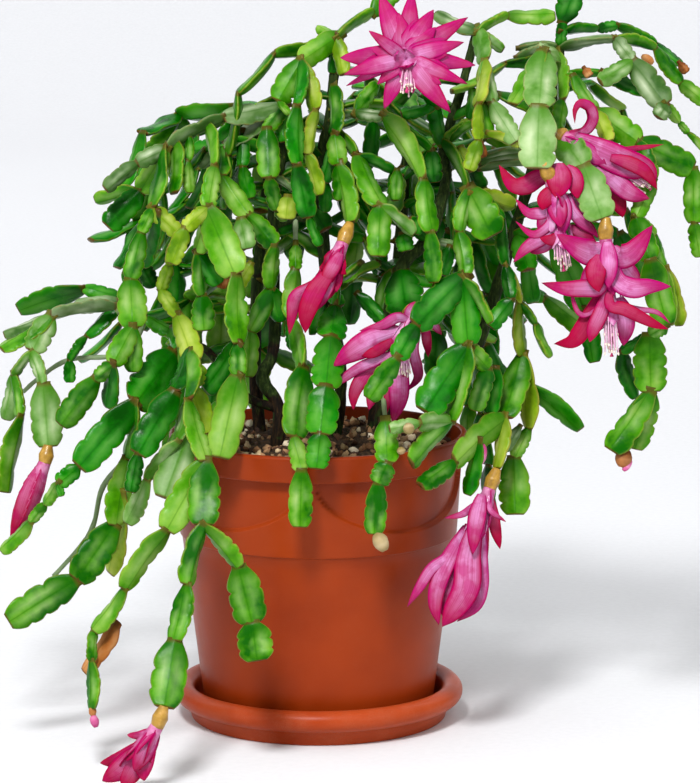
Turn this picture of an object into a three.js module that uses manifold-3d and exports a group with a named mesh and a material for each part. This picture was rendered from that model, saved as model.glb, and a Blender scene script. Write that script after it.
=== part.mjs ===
// A potted Christmas cactus (Schlumbergera) in bloom: a saucer, a plastic nursery pot, potting soil,
// woody stems that stand in the soil, leafy stems of flat notched segments, and hanging blooms.
// Millimetres, +Z up, -Y towards the viewer. The origin lies on the pot's axis, on the surface
// that the saucer stands on.
import * as THREE from 'three';
import { mergeVertices } from 'three/addons/utils/BufferGeometryUtils.js';
import Module from 'manifold-3d';

const wasm = await Module();
wasm.setup();

// ---- Driving dimensions ----
const CLEARANCE = 0.3; // between pieces that lie against each other

const SAUCER_BASE_RADIUS = 69;
const SAUCER_FLOOR = 4;
const SAUCER_ROLL_RADIUS = 72.6; // radius of the circle that the rolled rim's centre follows
const SAUCER_ROLL_THICK = 5.8; // radius of the rolled rim's own section
const SAUCER_ROLL_HEIGHT = 13.9;
const SAUCER_ROLL_POINTS = 7; // from under the rim, round its outside, to the floor inside
const SAUCER_SIDES = 25;

const POT_BOTTOM_RADIUS = 61.5;
const POT_STEP_RADIUS = 73.4;
const POT_STEP_HEIGHT = 101;
const POT_NECK_RADIUS = 77;
const POT_RIM_RADIUS = 80;
const POT_RIM_BAND = 14;
const POT_HEIGHT = 151.7;
const POT_WALL = 2.4;
const POT_SIDES = 30;
const POT_SEAT = SAUCER_FLOOR + CLEARANCE;
const POT_TOP = POT_SEAT + POT_HEIGHT;

const SOIL_TOP = 150;
const SOIL_CROWN = 3; // how much higher the soil is in the middle
const SOIL_SIDES = 18;

const WOOD_SIDES = 6;
const ROOT_DEPTH = 3; // how far a segment's base is sunk in what it grows from
const SEGMENT_THICK = 2.8;
const SEGMENT_ARCH = 0.05; // rise of a segment's middle, as a share of its length
const SEGMENT_FULL_WIDTH = 15;
const SEGMENT_SLIMNESS = 0.4; // full width as a share of length, where that is less
const PETAL_THICK = 1.8;
const PETAL_ROOT = 1.2; // how far from the tube's axis a petal starts
const PETAL_SHOWN = 0.6; // how far a petal's flat side turns from the tube's axis to the viewer
const PETAL_FULLNESS = 1.15; // widest part of a petal, as a share of the width seen
const PETAL_BEND = 0.4; // how far a petal leaves along the tube before it turns, as a share of its length
const TUBE_RADII = [1.8, 3.1, 2.4, 3.2, 3.8]; // foot, ovary, waist, tube and mouth of a bloom
const STAMEN_RADII = [1.4, 2, 1];
const TUBE_SIDES = 5;
const TWIG_SIDES = 5;
const TWIG_THINNEST = 2.4;
const TWIG_TAPER = 0.05; // lost at each joint

// Half outline of a segment as [share of length, share of half width] between its two necks:
// two blunt teeth with a notch between them, the second one at the cut-off tip.
const SEGMENT_OUTLINE = [[0.32, 1], [0.54, 0.8], [0.84, 0.92]];
const SEGMENT_NECK = 0.24; // share of half width at the root and tip
const NECK_THICKNESS = 0.8; // share of a segment's thickness
const SHARP_BEND = 0.25; // cosine of the angle past which a run of segments is made in two
// Half outline of a petal, which has a point at either end.
const PETAL_OUTLINE = [[0.3, 0.85], [0.66, 1]];
const PETAL_MIDDLE = 0.5;

// ---- Where things are ----
// A place is [across, up, out]: across and up as sighted from an eye point two metres in front
// of the pot's axis, on the upright plane through that axis, and out towards the viewer.
const EYE_ACROSS = 17;
const EYE_UP = 518;
const EYE_DISTANCE = 2000;

function sighted([across, up, out]) {
  const shrink = 1 - out / EYE_DISTANCE;
  const x = EYE_ACROSS + (across - EYE_ACROSS) * shrink;
  return new THREE.Vector3(x, -out, EYE_UP + (up - EYE_UP) * shrink);
}

const VIEWER_WAY = new THREE.Vector3(0, 1, 0);
const UPWARD = new THREE.Vector3(0, 0, 1);

// ---- Solids ----
function solidOf(geometry) {
  const bare = geometry.clone();
  for (const name of ['normal', 'uv']) bare.deleteAttribute(name);
  const merged = mergeVertices(bare, 1e-4);
  return new wasm.Manifold(new wasm.Mesh({
    numProp: 3,
    vertProperties: new Float32Array(merged.attributes.position.array),
    triVerts: new Uint32Array(merged.index.array),
  }));
}

function geometryOf(solid) {
  const mesh = solid.getMesh();
  const geometry = new THREE.BufferGeometry();
  geometry.setAttribute('position', new THREE.BufferAttribute(new Float32Array(mesh.vertProperties), 3));
  geometry.setIndex(new THREE.BufferAttribute(new Uint32Array(mesh.triVerts), 1));
  const flat = geometry.toNonIndexed();
  flat.computeVertexNormals();
  return flat;
}

function largestPiece(solid) {
  const pieces = solid.decompose();
  return pieces.reduce((best, piece) => (piece.volume() > best.volume() ? piece : best));
}

function facetsGeometry(points, triangles) {
  const geometry = new THREE.BufferGeometry();
  const numbers = points.flatMap((point) => [point.x, point.y, point.z]);
  geometry.setAttribute('position', new THREE.Float32BufferAttribute(numbers, 3));
  geometry.setIndex(triangles.flat());
  return geometry;
}

// A petal along a curve: a thin lens whose outline lies in its middle surface, with one ridge
// point a face. Both faces are split into triangles alike.
function petalGeometry(curve, side, halfWidth, halfThick) {
  const points = [];
  const put = (point) => points.push(point) - 1;
  const edge = (sign) => PETAL_OUTLINE.map(([along, share]) => put(
    curve.getPoint(along).addScaledVector(side, sign * share * halfWidth)));
  const right = edge(1);
  const left = edge(-1);
  const normal = side.clone().cross(curve.getTangent(PETAL_MIDDLE)).normalize();
  const ridge = (sign) => put(curve.getPoint(PETAL_MIDDLE).addScaledVector(normal, sign * halfThick));
  const root = put(curve.getPoint(0));
  const tip = put(curve.getPoint(1));
  const rim = [root, ...right, tip, ...left.reverse()];
  const face = (top) => rim.map((point, i) => [top, point, rim[(i + 1) % rim.length]]);
  const flip = (triangles) => triangles.map(([a, b, c]) => [a, c, b]);
  return facetsGeometry(points, [...face(ridge(1)), ...flip(face(ridge(-1)))]);
}

// A solid of round section through a line of points, with a radius at each. The sections follow
// each other without a twist.
function taperedGeometry(points, radii, sides) {
  const across = new THREE.Vector3(0, 1, 0).cross(points[1].clone().sub(points[0]).normalize());
  if (across.length() < 0.2) across.set(1, 0, 0);
  const rings = points.map((point, i) => {
    const before = points[Math.max(i - 1, 0)];
    const after = points[Math.min(i + 1, points.length - 1)];
    const along = after.clone().sub(before).normalize();
    across.addScaledVector(along, -across.dot(along)).normalize();
    const third = along.clone().cross(across);
    return Array.from({ length: sides }, (_, k) => {
      const angle = (2 * Math.PI * k) / sides;
      return point.clone().addScaledVector(across, radii[i] * Math.cos(angle))
        .addScaledVector(third, radii[i] * Math.sin(angle));
    });
  });
  const all = rings.flat();
  const foot = all.push(points[0].clone()) - 1;
  const head = all.push(points[points.length - 1].clone()) - 1;
  const triangles = [];
  for (let k = 0; k < sides; k += 1) {
    const next = (k + 1) % sides;
    const top = (rings.length - 1) * sides;
    triangles.push([foot, next, k], [head, top + k, top + next]);
    for (let ring = 0; ring < rings.length - 1; ring += 1) {
      const low = ring * sides;
      const high = low + sides;
      triangles.push([low + k, low + next, high + next], [low + k, high + next, high + k]);
    }
  }
  return facetsGeometry(all, triangles);
}

// How one segment lies from start to end. Its flat side faces `facing`, turned by the roll that
// makes it look as wide as `seen`.
function layOut(start, end, seen, facing, turn) {
  const along = end.clone().sub(start);
  const length = along.length();
  along.normalize();
  const width = Math.max(seen, Math.min(SEGMENT_FULL_WIDTH, SEGMENT_SLIMNESS * length));
  const side = along.clone().cross(facing);
  if (side.length() < 0.15) side.copy(along).cross(UPWARD);
  side.normalize().applyAxisAngle(along, turn * Math.acos(seen / width));
  return { start, end, along, length, width, side, arch: SEGMENT_ARCH * length };
}

// A run of segments end to end, as one closed surface: it starts in a point that is sunk in what
// it grows from and ends in a short straight edge. It has a four-cornered neck at every joint,
// and between two necks the notched edges and a ridge point on each face.
function runGeometry(run, grow) {
  for (let i = 1; i < run.length; i += 1) {
    if (run[i].side.dot(run[i - 1].side) < 0) {
      run[i].side.negate();
      run[i].arch *= -1;
    }
  }
  const points = [];
  const put = (point) => points.push(point) - 1;
  const cross = (middle, side, normal, half, thick) => ({
    right: put(middle.clone().addScaledVector(side, half)),
    left: put(middle.clone().addScaledVector(side, -half)),
    top: put(middle.clone().addScaledVector(normal, thick)),
    bottom: put(middle.clone().addScaledVector(normal, -thick)),
  });
  const neckThick = (NECK_THICKNESS * SEGMENT_THICK) / 2 + grow;
  const last = run.length - 1;
  const root = put(run[0].start.clone().addScaledVector(run[0].along, -ROOT_DEPTH - grow));
  const necks = run.map(({ end }, i) => {
    const before = run[i];
    const after = run[Math.min(i + 1, last)];
    const along = before.along.clone().add(after.along).normalize();
    const side = before.side.clone().add(after.side);
    side.addScaledVector(along, -side.dot(along)).normalize();
    const middle = end.clone().addScaledVector(along, i === last ? grow : 0);
    const half = (SEGMENT_NECK * Math.min(before.width, after.width)) / 2 + grow;
    return cross(middle, side, side.clone().cross(along), half, neckThick);
  });
  const triangles = [];
  const patch = (a, b, c, outward) => triangles.push(outward ? [a, b, c] : [a, c, b]);
  run.forEach((segment, i) => {
    const { start, along, length, width, side, arch } = segment;
    const normal = side.clone().cross(along);
    const at = (t) => start.clone().addScaledVector(along, t * length)
      .addScaledVector(normal, arch * 4 * t * (1 - t));
    const edge = (sign) => SEGMENT_OUTLINE.map(([t, share]) => put(
      at(t).addScaledVector(side, sign * ((share * width) / 2 + 3 * grow))));
    const edges = { right: edge(1), left: edge(-1) };
    for (const [face, up] of [['top', 1], ['bottom', -1]]) {
      const ridge = put(at(0.5).addScaledVector(normal, up * (SEGMENT_THICK / 2 + grow)));
      const [low, high] = [necks[i - 1], necks[i]];
      for (const [hand, turn] of [['right', 1], ['left', -1]]) {
        const [a, b, c] = edges[hand];
        const outward = up * turn > 0;
        if (low) patch(low[face], low[hand], a, outward);
        patch(low ? low[face] : root, a, ridge, outward);
        patch(ridge, a, b, outward);
        patch(ridge, b, c, outward);
        patch(ridge, c, high[i === last ? hand : face], outward);
        if (i < last) patch(high[face], c, high[hand], outward);
      }
      if (i === last) patch(ridge, high.right, high.left, up > 0);
    }
  });
  return facetsGeometry(points, triangles);
}

// Segments through a list of joints. Where the line bends sharply, a new run starts, sunk in
// the last one.
function segmentsSolid(laid, grow) {
  const runs = [];
  laid.forEach((segment, i) => {
    if (i === 0 || segment.along.dot(laid[i - 1].along) < SHARP_BEND) runs.push([]);
    runs[runs.length - 1].push(segment);
  });
  return wasm.Manifold.union(runs.map((run) => solidOf(runGeometry(run, grow))));
}

function twigSolid(joints, thick, grow) {
  const root = joints[0].clone().sub(joints[1]).setLength(ROOT_DEPTH / 2).add(joints[0]);
  const radius = Math.max(thick, TWIG_THINNEST) / 2 + grow;
  const points = [root, ...joints.slice(1)];
  const radii = points.map((_, i) => radius * (1 - TWIG_TAPER * i));
  return solidOf(taperedGeometry(points, radii, TWIG_SIDES));
}

// A leafy stem: chains of segments, each chain [kind, start, [across, up, out, width seen], ...].
// Its first chain starts at the piece that carries it, and the others that leave from there fork
// from that chain.
function leafySolid(chains, grow = 0) {
  const hold = sighted(chains[0][1]);
  const away = sighted(chains[0][2]).sub(hold);
  return wasm.Manifold.union(chains.map(([kind, first, ...rest], i) => {
    const joints = [first, ...rest].map(sighted);
    const fork = i === 0 ? 0 : ROOT_DEPTH;
    if (joints[0].distanceTo(hold) < 0.1) {
      joints[0].add(away.clone().setLength(ROOT_DEPTH + fork));
    }
    if (kind === 'twig') return twigSolid(joints, rest[0][3], grow);
    const laid = rest.map((row, j) => {
      const turn = j % 2 ? -1 : 1;
      return layOut(joints[j], joints[j + 1], row[3], VIEWER_WAY, turn);
    });
    return segmentsSolid(laid, grow);
  }));
}

// Woody stems: branches of [across, up, out, radius].
function woodSolid(branches, grow = 0) {
  return wasm.Manifold.union(branches.map((branch) => solidOf(taperedGeometry(
    branch.map(sighted), branch.map((point) => point[3] + grow), WOOD_SIDES))));
}

// A bloom: the ovary and tube along base, neck and throat, petals from the tube, and stamens.
function bloomSolid({ base, neck, throat, petals, stamens }, grow = 0) {
  const [root, waist, mouth] = [base, neck, throat].map(sighted);
  const belly = root.clone().lerp(waist, 0.55);
  const middle = waist.clone().lerp(mouth, 0.5);
  const radii = TUBE_RADII.map((radius) => radius + grow);
  const solids = [solidOf(taperedGeometry([root, belly, waist, middle, mouth], radii, TUBE_SIDES))];
  const axis = mouth.clone().sub(waist);
  const heading = axis.clone().normalize();
  for (const [share, across, up, out, width] of petals) {
    const start = waist.clone().addScaledVector(axis, share * 0.9);
    const tip = sighted([across, up, out]);
    const chord = tip.clone().sub(start);
    const aside = chord.clone().addScaledVector(heading, -chord.dot(heading)).normalize();
    start.addScaledVector(aside, PETAL_ROOT);
    chord.copy(tip).sub(start);
    const bend = start.clone().addScaledVector(heading, PETAL_BEND * chord.length());
    const curve = new THREE.QuadraticBezierCurve3(start, bend, tip);
    const outward = chord.clone().addScaledVector(heading, -chord.dot(heading));
    const side = chord.clone().cross(outward);
    if (side.length() < 1) side.copy(heading).cross(VIEWER_WAY);
    const shown = chord.clone().cross(VIEWER_WAY).normalize();
    if (shown.dot(side) < 0) shown.negate();
    side.normalize().lerp(shown, PETAL_SHOWN).normalize();
    const half = (PETAL_FULLNESS * width) / 2 + grow;
    solids.push(solidOf(petalGeometry(curve, side, half, PETAL_THICK / 2 + grow)));
  }
  if (stamens) {
    const tip = sighted(stamens);
    solids.push(solidOf(taperedGeometry([mouth.clone().lerp(waist, 0.3), mouth.clone().lerp(tip, 0.7), tip],
      STAMEN_RADII, TWIG_SIDES)));
  }
  return wasm.Manifold.union(solids);
}

// ---- Woody stems, rooted in the soil ----
const WOOD = {
  trunk_left: [
    [[-24, 136, 18, 3.8], [-21, 167, 18, 3.6], [-30, 184, 14, 3.4], [-25, 196, 10, 3.3], [-23, 214, 8, 3.2],
      [-24, 268, 4, 3], [-20, 300, 0, 2.8], [-17, 332, 0, 2.4]],
    [[-22, 168, 18, 2.6], [-38, 174, 18, 2.3], [-50, 188, 14, 2.1], [-60, 200, 6, 2], [-72, 206, 0, 1.9]],
    [[-24, 266, 4, 1.8], [-12, 270, 4, 1.6], [-3, 270, 0, 1.5]],
  ],
  trunk_middle: [
    [[6, 136, -8, 3.8], [12, 185, -12, 3.5], [4, 240, -12, 3.3], [2, 300, -10, 3], [6, 322, -6, 2.8],
      [8, 342, -4, 2.6], [12, 369, -2, 2.3]],
  ],
  trunk_right: [
    [[34, 136, 12, 4.2], [36, 200, 14, 4], [44, 243, 16, 3.6], [57, 257, 18, 3.4], [62, 268, 16, 3.2],
      [68, 292, 8, 3], [67, 309, 2, 2.8], [76, 340, -8, 2.5], [84, 371, -12, 2.2]],
  ],
  trunk_far_right: [
    [[52, 136, -14, 3.8], [84, 200, -22, 3.5], [104, 262, -24, 3.2], [118, 312, -20, 2.9],
      [127, 344, -14, 2.5], [128, 362, -14, 2.2]],
  ],
  trunk_back_left: [
    [[-30, 136, -26, 3.8], [-34, 200, -36, 3.5], [-30, 262, -40, 3.1], [-24, 312, -42, 2.6]],
  ],
  trunk_back_right: [
    [[26, 136, -34, 3.8], [36, 200, -48, 3.5], [44, 262, -52, 3.1], [48, 318, -54, 2.6]],
  ],
};

// ---- Leafy stems ----
// Each is a list of chains. The first place of the first chain lies on what carries the stem.
const LEAFY = {
  arm_left_high: [
    ['grey', [-17, 331, 2], [-50, 324, 10, 8], [-80, 308, 20, 8], [-96, 300, 26, 9], [-113, 286, 32, 8]],
    ['grey', [-17, 331, 2], [-50, 309, 0, 6], [-62, 298, -6, 6]],
    ['dark', [-50, 309, 0], [-66, 307, -10, 9]],
    ['fresh', [-80, 308, 20], [-94, 285, 12, 11], [-118, 280, 2, 8]],
    ['dark', [-94, 285, 12], [-112, 266, 20, 13]],
    ['fresh', [-68, 314, 16], [-69, 301, 20, 5], [-68, 284, 24, 6]],
  ],
  fall_left: [
    ['fresh', [-82, 307, 21], [-88, 276, 38, 6.5], [-94, 263, 40, 7], [-100, 238, 46, 10],
      [-99, 212, 54, 15],
      [-110, 192, 60, 12], [-119, 184, 56, 8], [-138, 159, 52, 13]],
    ['fresh', [-99, 212, 54], [-99, 188, 50, 10]],
    ['dark', [-110, 192, 60], [-113, 169, 48, 8]],
  ],
  fall_left_inner: [
    ['yellow', [-88, 276, 38], [-74, 262, 38, 9], [-79, 246, 28, 6], [-84, 232, 24, 7], [-75, 218, 34, 7],
      [-66, 193, 58, 13], [-68, 180, 62, 13], [-60, 154, 68, 13], [-60, 142, 70, 6]],
    ['dark', [-88, 276, 38], [-94, 246, 22, 8], [-88, 234, 14, 9]],
    ['fresh', [-75, 218, 34], [-72, 190, 42, 7]],
  ],
  arm_left_low: [
    ['dark', [-72, 206, 1], [-92, 217, -4, 5], [-106, 228, -10, 6], [-125, 233, -16, 7],
      [-160, 222, -22, 12]],
    ['grey', [-92, 217, -4], [-108, 223, 2, 6], [-143, 218, 10, 8], [-168, 208, 12, 5]],
    ['fresh', [-143, 218, 10], [-170, 200, 20, 6]],
    ['pale', [-143, 218, 10], [-153, 199, 22, 13], [-163, 186, 18, 5], [-168, 162, 14, 9]],
    ['fresh', [-163, 186, 18], [-160, 164, 26, 6], [-169, 122, 30, 8]],
    ['pale', [-153, 199, 22], [-147, 181, 32, 7], [-145, 147, 40, 16]],
    ['twig', [-92, 217, -4], [-103, 198, -8, 3], [-133, 194.5, -10, 3], [-150, 184, -8, 3],
      [-158, 177, -8, 3]],
    ['dark', [-106, 228, -10], [-124, 207, -2, 6], [-133, 194, 0, 5], [-133, 182, 2, 6.5]],
  ],
  fall_left_low: [
    ['dark', [-79, 210, -1], [-77, 198, 26, 7], [-98, 171, 62, 20], [-129, 136, 78, 16], [-140, 127, 82, 9],
      [-138, 120, 84, 4]],
    ['fresh', [-140, 127, 82], [-147, 116, 72, 6], [-155, 106, 66, 6], [-171, 90, 60, 6]],
    ['fresh', [-98, 171, 62], [-103, 141, 58, 5], [-110, 104, 64, 12], [-131, 74, 76, 17],
      [-168, 51, 84, 16]],
    ['yellow', [-106, 122, 60], [-112, 78, 44, 10]],
    ['twig', [-103, 141, 58], [-116, 125, 48, 3], [-121, 105, 44, 3], [-128, 93, 42, 3], [-143, 76, 40, 3]],
  ],
  fall_left_front: [
    ['dark', [-68.5, 200, 51], [-77, 177, 72, 8], [-97, 143, 84, 15], [-101, 122, 88, 8]],
    ['fresh', [-68.5, 200, 51], [-70, 172, 86, 8], [-61, 139, 100, 8], [-82, 101, 112, 15],
      [-105, 69, 112, 11],
      [-122, 46, 110, 7], [-123, 29, 112, 5], [-123, 2, 118, 6], [-121, -6, 120, 4]],
    ['fresh', [-61, 139, 100], [-62, 104, 114, 16], [-71, 71, 126, 9], [-78, 40, 140, 10],
      [-84, 3, 160, 17]],
    ['fresh', [-62, 104, 114], [-43, 81, 110, 9], [-36, 50, 116, 17], [-33, 29, 122, 17]],
  ],
  fall_rim_left: [
    ['pale', [-70, 172, 63], [-75, 150, 76, 7], [-92, 129, 74, 7], [-103, 105, 72, 9]],
    ['pale', [-68, 160, 68], [-83, 119, 86, 17]],
  ],
  fall_crown_left: [
    ['fresh', [-18, 331, 2], [-27, 318, 18, 8], [-26, 292, 30, 12], [-22, 275, 24, 8], [-17, 270, 18, 6]],
    ['dark', [-18, 331, 2], [-18, 311, 10, 8]],
  ],
  fall_arm_inner: [
    ['dark', [-40, 316, 2], [-40, 298, 10, 7], [-36, 281, 14, 8]],
  ],
  fall_arm_middle: [
    ['fresh', [-50, 309, 0], [-51, 293, 16, 7], [-37, 272, 28, 10], [-23, 256, 32, 11], [-25, 233, 26, 8],
      [-36, 210, 24, 10], [-38, 185, 28, 10]],
    ['dark', [-25, 233, 26], [-20, 215, 22, 10]],
  ],
  fall_arm_front: [
    ['fresh', [-58, 320, 13], [-55, 298, 34, 6], [-59, 276, 46, 9], [-44, 240, 58, 17], [-43, 203, 66, 11],
      [-43, 186, 70, 9], [-53, 141, 84, 16]],
    ['yellow', [-59, 276, 46], [-71, 265, 54, 8], [-78, 246, 58, 9]],
    ['fresh', [-59, 276, 46], [-64, 252, 42, 8], [-62, 229, 42, 6], [-61, 210, 46, 12]],
    ['dark', [-43, 203, 66], [-60, 178, 52, 11]],
    ['fresh', [-43, 186, 70], [-57, 161, 60, 9]],
    ['dark', [-64, 252, 42], [-53, 235, 40, 10]],
  ],
  fall_arm_outer: [
    ['fresh', [-75, 311, 18], [-76, 284, 32, 7]],
  ],
  crown_top_left: [
    ['fresh', [12, 368, 0], [-9, 354, 14, 12], [-21, 333, 24, 13], [-15, 326, 26, 4]],
    ['yellow', [-9, 354, 14], [-1, 328, 26, 9], [-5, 305, 24, 6], [1, 283, 26, 7]],
    ['dark', [-9, 354, 14], [-11, 330, 32, 6], [-11, 299, 42, 9], [-5, 271, 44, 11], [1, 256, 42, 5]],
    ['yellow', [12, 368, 0], [14, 347, 12, 8]],
    ['dark', [12, 368, 0], [7, 348, -2, 6]],
    ['fresh', [12, 368, 0], [0, 372, -10, 5]],
    ['fresh', [12, 368, 0], [29, 380, -14, 5], [43, 396, -22, 11]],
  ],
  crown_middle: [
    ['fresh', [8, 341, -2], [9, 315, 12, 7], [11, 299, 20, 10], [12, 280, 24, 8]],
    ['fresh', [11, 299, 20], [17, 268, 32, 9]],
    ['dark', [9, 315, 12], [4, 290, 8, 7], [4, 274, 6, 7]],
  ],
  fall_centre_bright: [
    ['grey', [7, 323, -4], [20, 327, 8, 5], [35, 325, 20, 6], [56, 291, 46, 10], [60, 263, 56, 10],
      [62, 236, 60, 9]],
    ['dark', [35, 325, 20], [60, 307, 24, 4], [62, 290, 22, 9]],
    ['fresh', [20, 327, 8], [31, 342, -4, 8]],
  ],
  fall_centre_pale: [
    ['grey', [6, 318, -6], [21, 304, 14, 7], [33, 277, 36, 10], [32, 250, 44, 12]],
    ['pale', [33, 277, 36], [51, 262, 36, 7]],
    ['dark', [21, 304, 14], [40, 296, 8, 6], [41, 280, 6, 6]],
  ],
  fall_centre_dark: [
    ['twig', [-12, 270, 4], [-12, 256, 14, 3]],
    ['fresh', [-12, 256, 14], [-12, 243, 20, 7], [-14, 216, 30, 9], [-8, 190, 52, 8], [-13, 152, 80, 14],
      [-9, 134, 92, 9], [-10, 103, 96, 12]],
    ['dark', [-14, 216, 30], [-13, 200, 34, 8]],
  ],
  fall_front_centre: [
    ['dark', [5, 240, -9], [9, 223, 26, 8], [7, 207, 56, 15], [4, 180, 78, 16], [1, 154, 92, 16],
      [-1, 135, 98, 12]],
  ],
  fall_front_right: [
    ['twig', [36, 200, 15], [35, 176, 60, 3], [36, 161, 80, 3]],
    ['fresh', [36, 161, 80], [37, 138, 94, 12], [32, 127, 96, 11], [30, 99, 100, 11]],
  ],
  crown_right_dark: [
    ['dark', [67, 308, 3], [62, 330, 10, 8], [51, 352, 18, 8]],
    ['dark', [62, 330, 10], [44, 326, 14, 6]],
    ['fresh', [67, 308, 3], [80, 323, 4, 5], [82, 340, 2, 5]],
    ['fresh', [67, 308, 3], [80, 286, 34, 5], [75, 263, 44, 8], [79, 240, 56, 9]],
  ],
  fall_right_front: [
    ['dark', [79, 240, 56], [52, 213, 76, 16], [42, 195, 88, 11], [27, 173, 92, 11]],
    ['dark', [79, 240, 56], [80, 202, 64, 15], [57, 166, 80, 18]],
    ['fresh', [79, 240, 56], [92, 214, 62, 5]],
    ['fresh', [80, 202, 64], [71, 161, 72, 8], [50, 138, 92, 11]],
    ['pale', [71, 161, 72], [54, 160, 90, 10], [38, 157, 94, 7]],
    ['fresh', [80, 202, 64], [91, 190, 56, 9], [84, 167, 52, 10]],
  ],
  fall_right_broad: [
    ['fresh', [80, 286, 34], [93, 261, 40, 18]],
    ['yellow', [80, 286, 34], [104, 277, 22, 10]],
    ['dark', [86, 283, 31], [98, 270, 26, 6], [100, 245, 34, 6], [103, 227, 42, 7], [92, 212, 46, 9]],
    ['yellow', [100, 245, 34], [107, 226, 24, 5], [109, 197, 20, 6], [113, 157, 22, 9]],
    ['fresh', [109, 197, 20], [100, 163, 42, 13], [73, 139, 74, 14], [55, 126, 90, 9]],
    ['dark', [86, 150, 58], [80, 121, 58, 7]],
    ['yellow', [100, 163, 42], [96, 135, 52, 6]],
    ['fresh', [113, 157, 22], [105, 141, 30, 8], [106, 110, 40, 16]],
    ['dark', [112, 181, 21], [141, 157, 20, 10]],
    ['fresh', [107, 226, 24], [116, 214, 20, 4], [124, 196, 18, 3]],
  ],
  leaf_middle_big: [
    ['dark', [44, 243, 18], [47, 220, 40, 20]],
  ],
  leaf_middle_round: [
    ['dark', [58, 259, 19], [48, 270, 26, 8]],
  ],
  crown_right_top: [
    ['pale', [84, 371, -10], [88, 354, 12, 9], [92, 332, 24, 8], [105, 311, 32, 10]],
    ['yellow', [88, 354, 12], [85, 331, 32, 6], [85, 312, 38, 6], [80, 296, 42, 8]],
    ['grey', [84, 371, -10], [62, 379, -20, 6]],
    ['pale', [84, 371, -10], [98, 360, -4, 6]],
    ['fresh', [84, 371, -10], [100, 378, -20, 4], [125, 378, -24, 7]],
  ],
  crown_far_right: [
    ['grey', [127, 358, -14], [119, 359, 14, 6], [117, 330, 50, 17], [116, 297, 62, 19]],
    ['fresh', [119, 359, 14], [103, 331, 26, 8]],
    ['fresh', [127, 358, -14], [129, 333, 8, 6], [127, 316, 24, 8], [140, 300, 42, 11], [148, 270, 58, 17]],
  ],
  arm_right_high: [
    ['grey', [128, 361, -14], [157, 366, -4, 5], [166, 354, 6, 8], [184, 331, 16, 14], [180, 324, 20, 9]],
    ['pale', [166, 354, 6], [149, 343, 18, 9]],
    ['fresh', [157, 366, -4], [178, 361, -12, 6], [192, 343, -14, 7], [206, 332, -16, 8]],
    ['fresh', [184, 331, 16], [191, 322, 8, 6], [196, 316, 6, 4], [204, 307, 4, 3]],
  ],
  arm_right_back: [
    ['dark', [128, 361, -14], [129, 375, -13, 6], [136, 394, -10, 13]],
    ['dark', [129, 370, -14], [147, 371, -26, 5], [158, 373, -30, 6], [178, 363, -34, 6],
      [192, 352, -36, 4]],
  ],
  arm_right_low: [
    ['dark', [127, 344, -13], [150, 348, -2, 5], [173, 337, -2, 7]],
    ['fresh', [127, 344, -13], [135, 346, 4, 4], [147, 327, 14, 7], [170, 311, 20, 14], [199, 297, 20, 14],
      [200, 268, 26, 11], [203, 250, 24, 8]],
    ['yellow', [147, 327, 14], [154, 311, 30, 8]],
    ['grey', [170, 311, 20], [178, 291, 34, 8], [169, 271, 42, 9], [177, 248, 50, 12], [186, 213, 50, 14],
      [177, 208, 48, 8], [178, 177, 52, 17], [157, 145, 58, 12]],
    ['fresh', [178, 177, 52], [170, 146, 48, 14]],
    ['fresh', [169, 271, 42], [179, 262, 36, 6], [185, 243, 34, 6], [188, 213, 36, 5]],
    ['yellow', [185, 243, 34], [192, 213, 30, 6]],
    ['dark', [177, 208, 48], [162, 199, 44, 5], [170, 174, 40, 8]],
  ],
  leaves_behind_blooms: [
    ['dark', [104, 262, -23], [126, 260, -10, 8], [142, 221, 6, 15]],
    ['dark', [104, 262, -23], [112, 243, -4, 12]],
    ['dark', [142, 221, 6], [148, 193, 10, 9]],
    ['dark', [126, 260, -10], [160, 262, -4, 11], [176, 232, 4, 14]],
  ],
};

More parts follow.
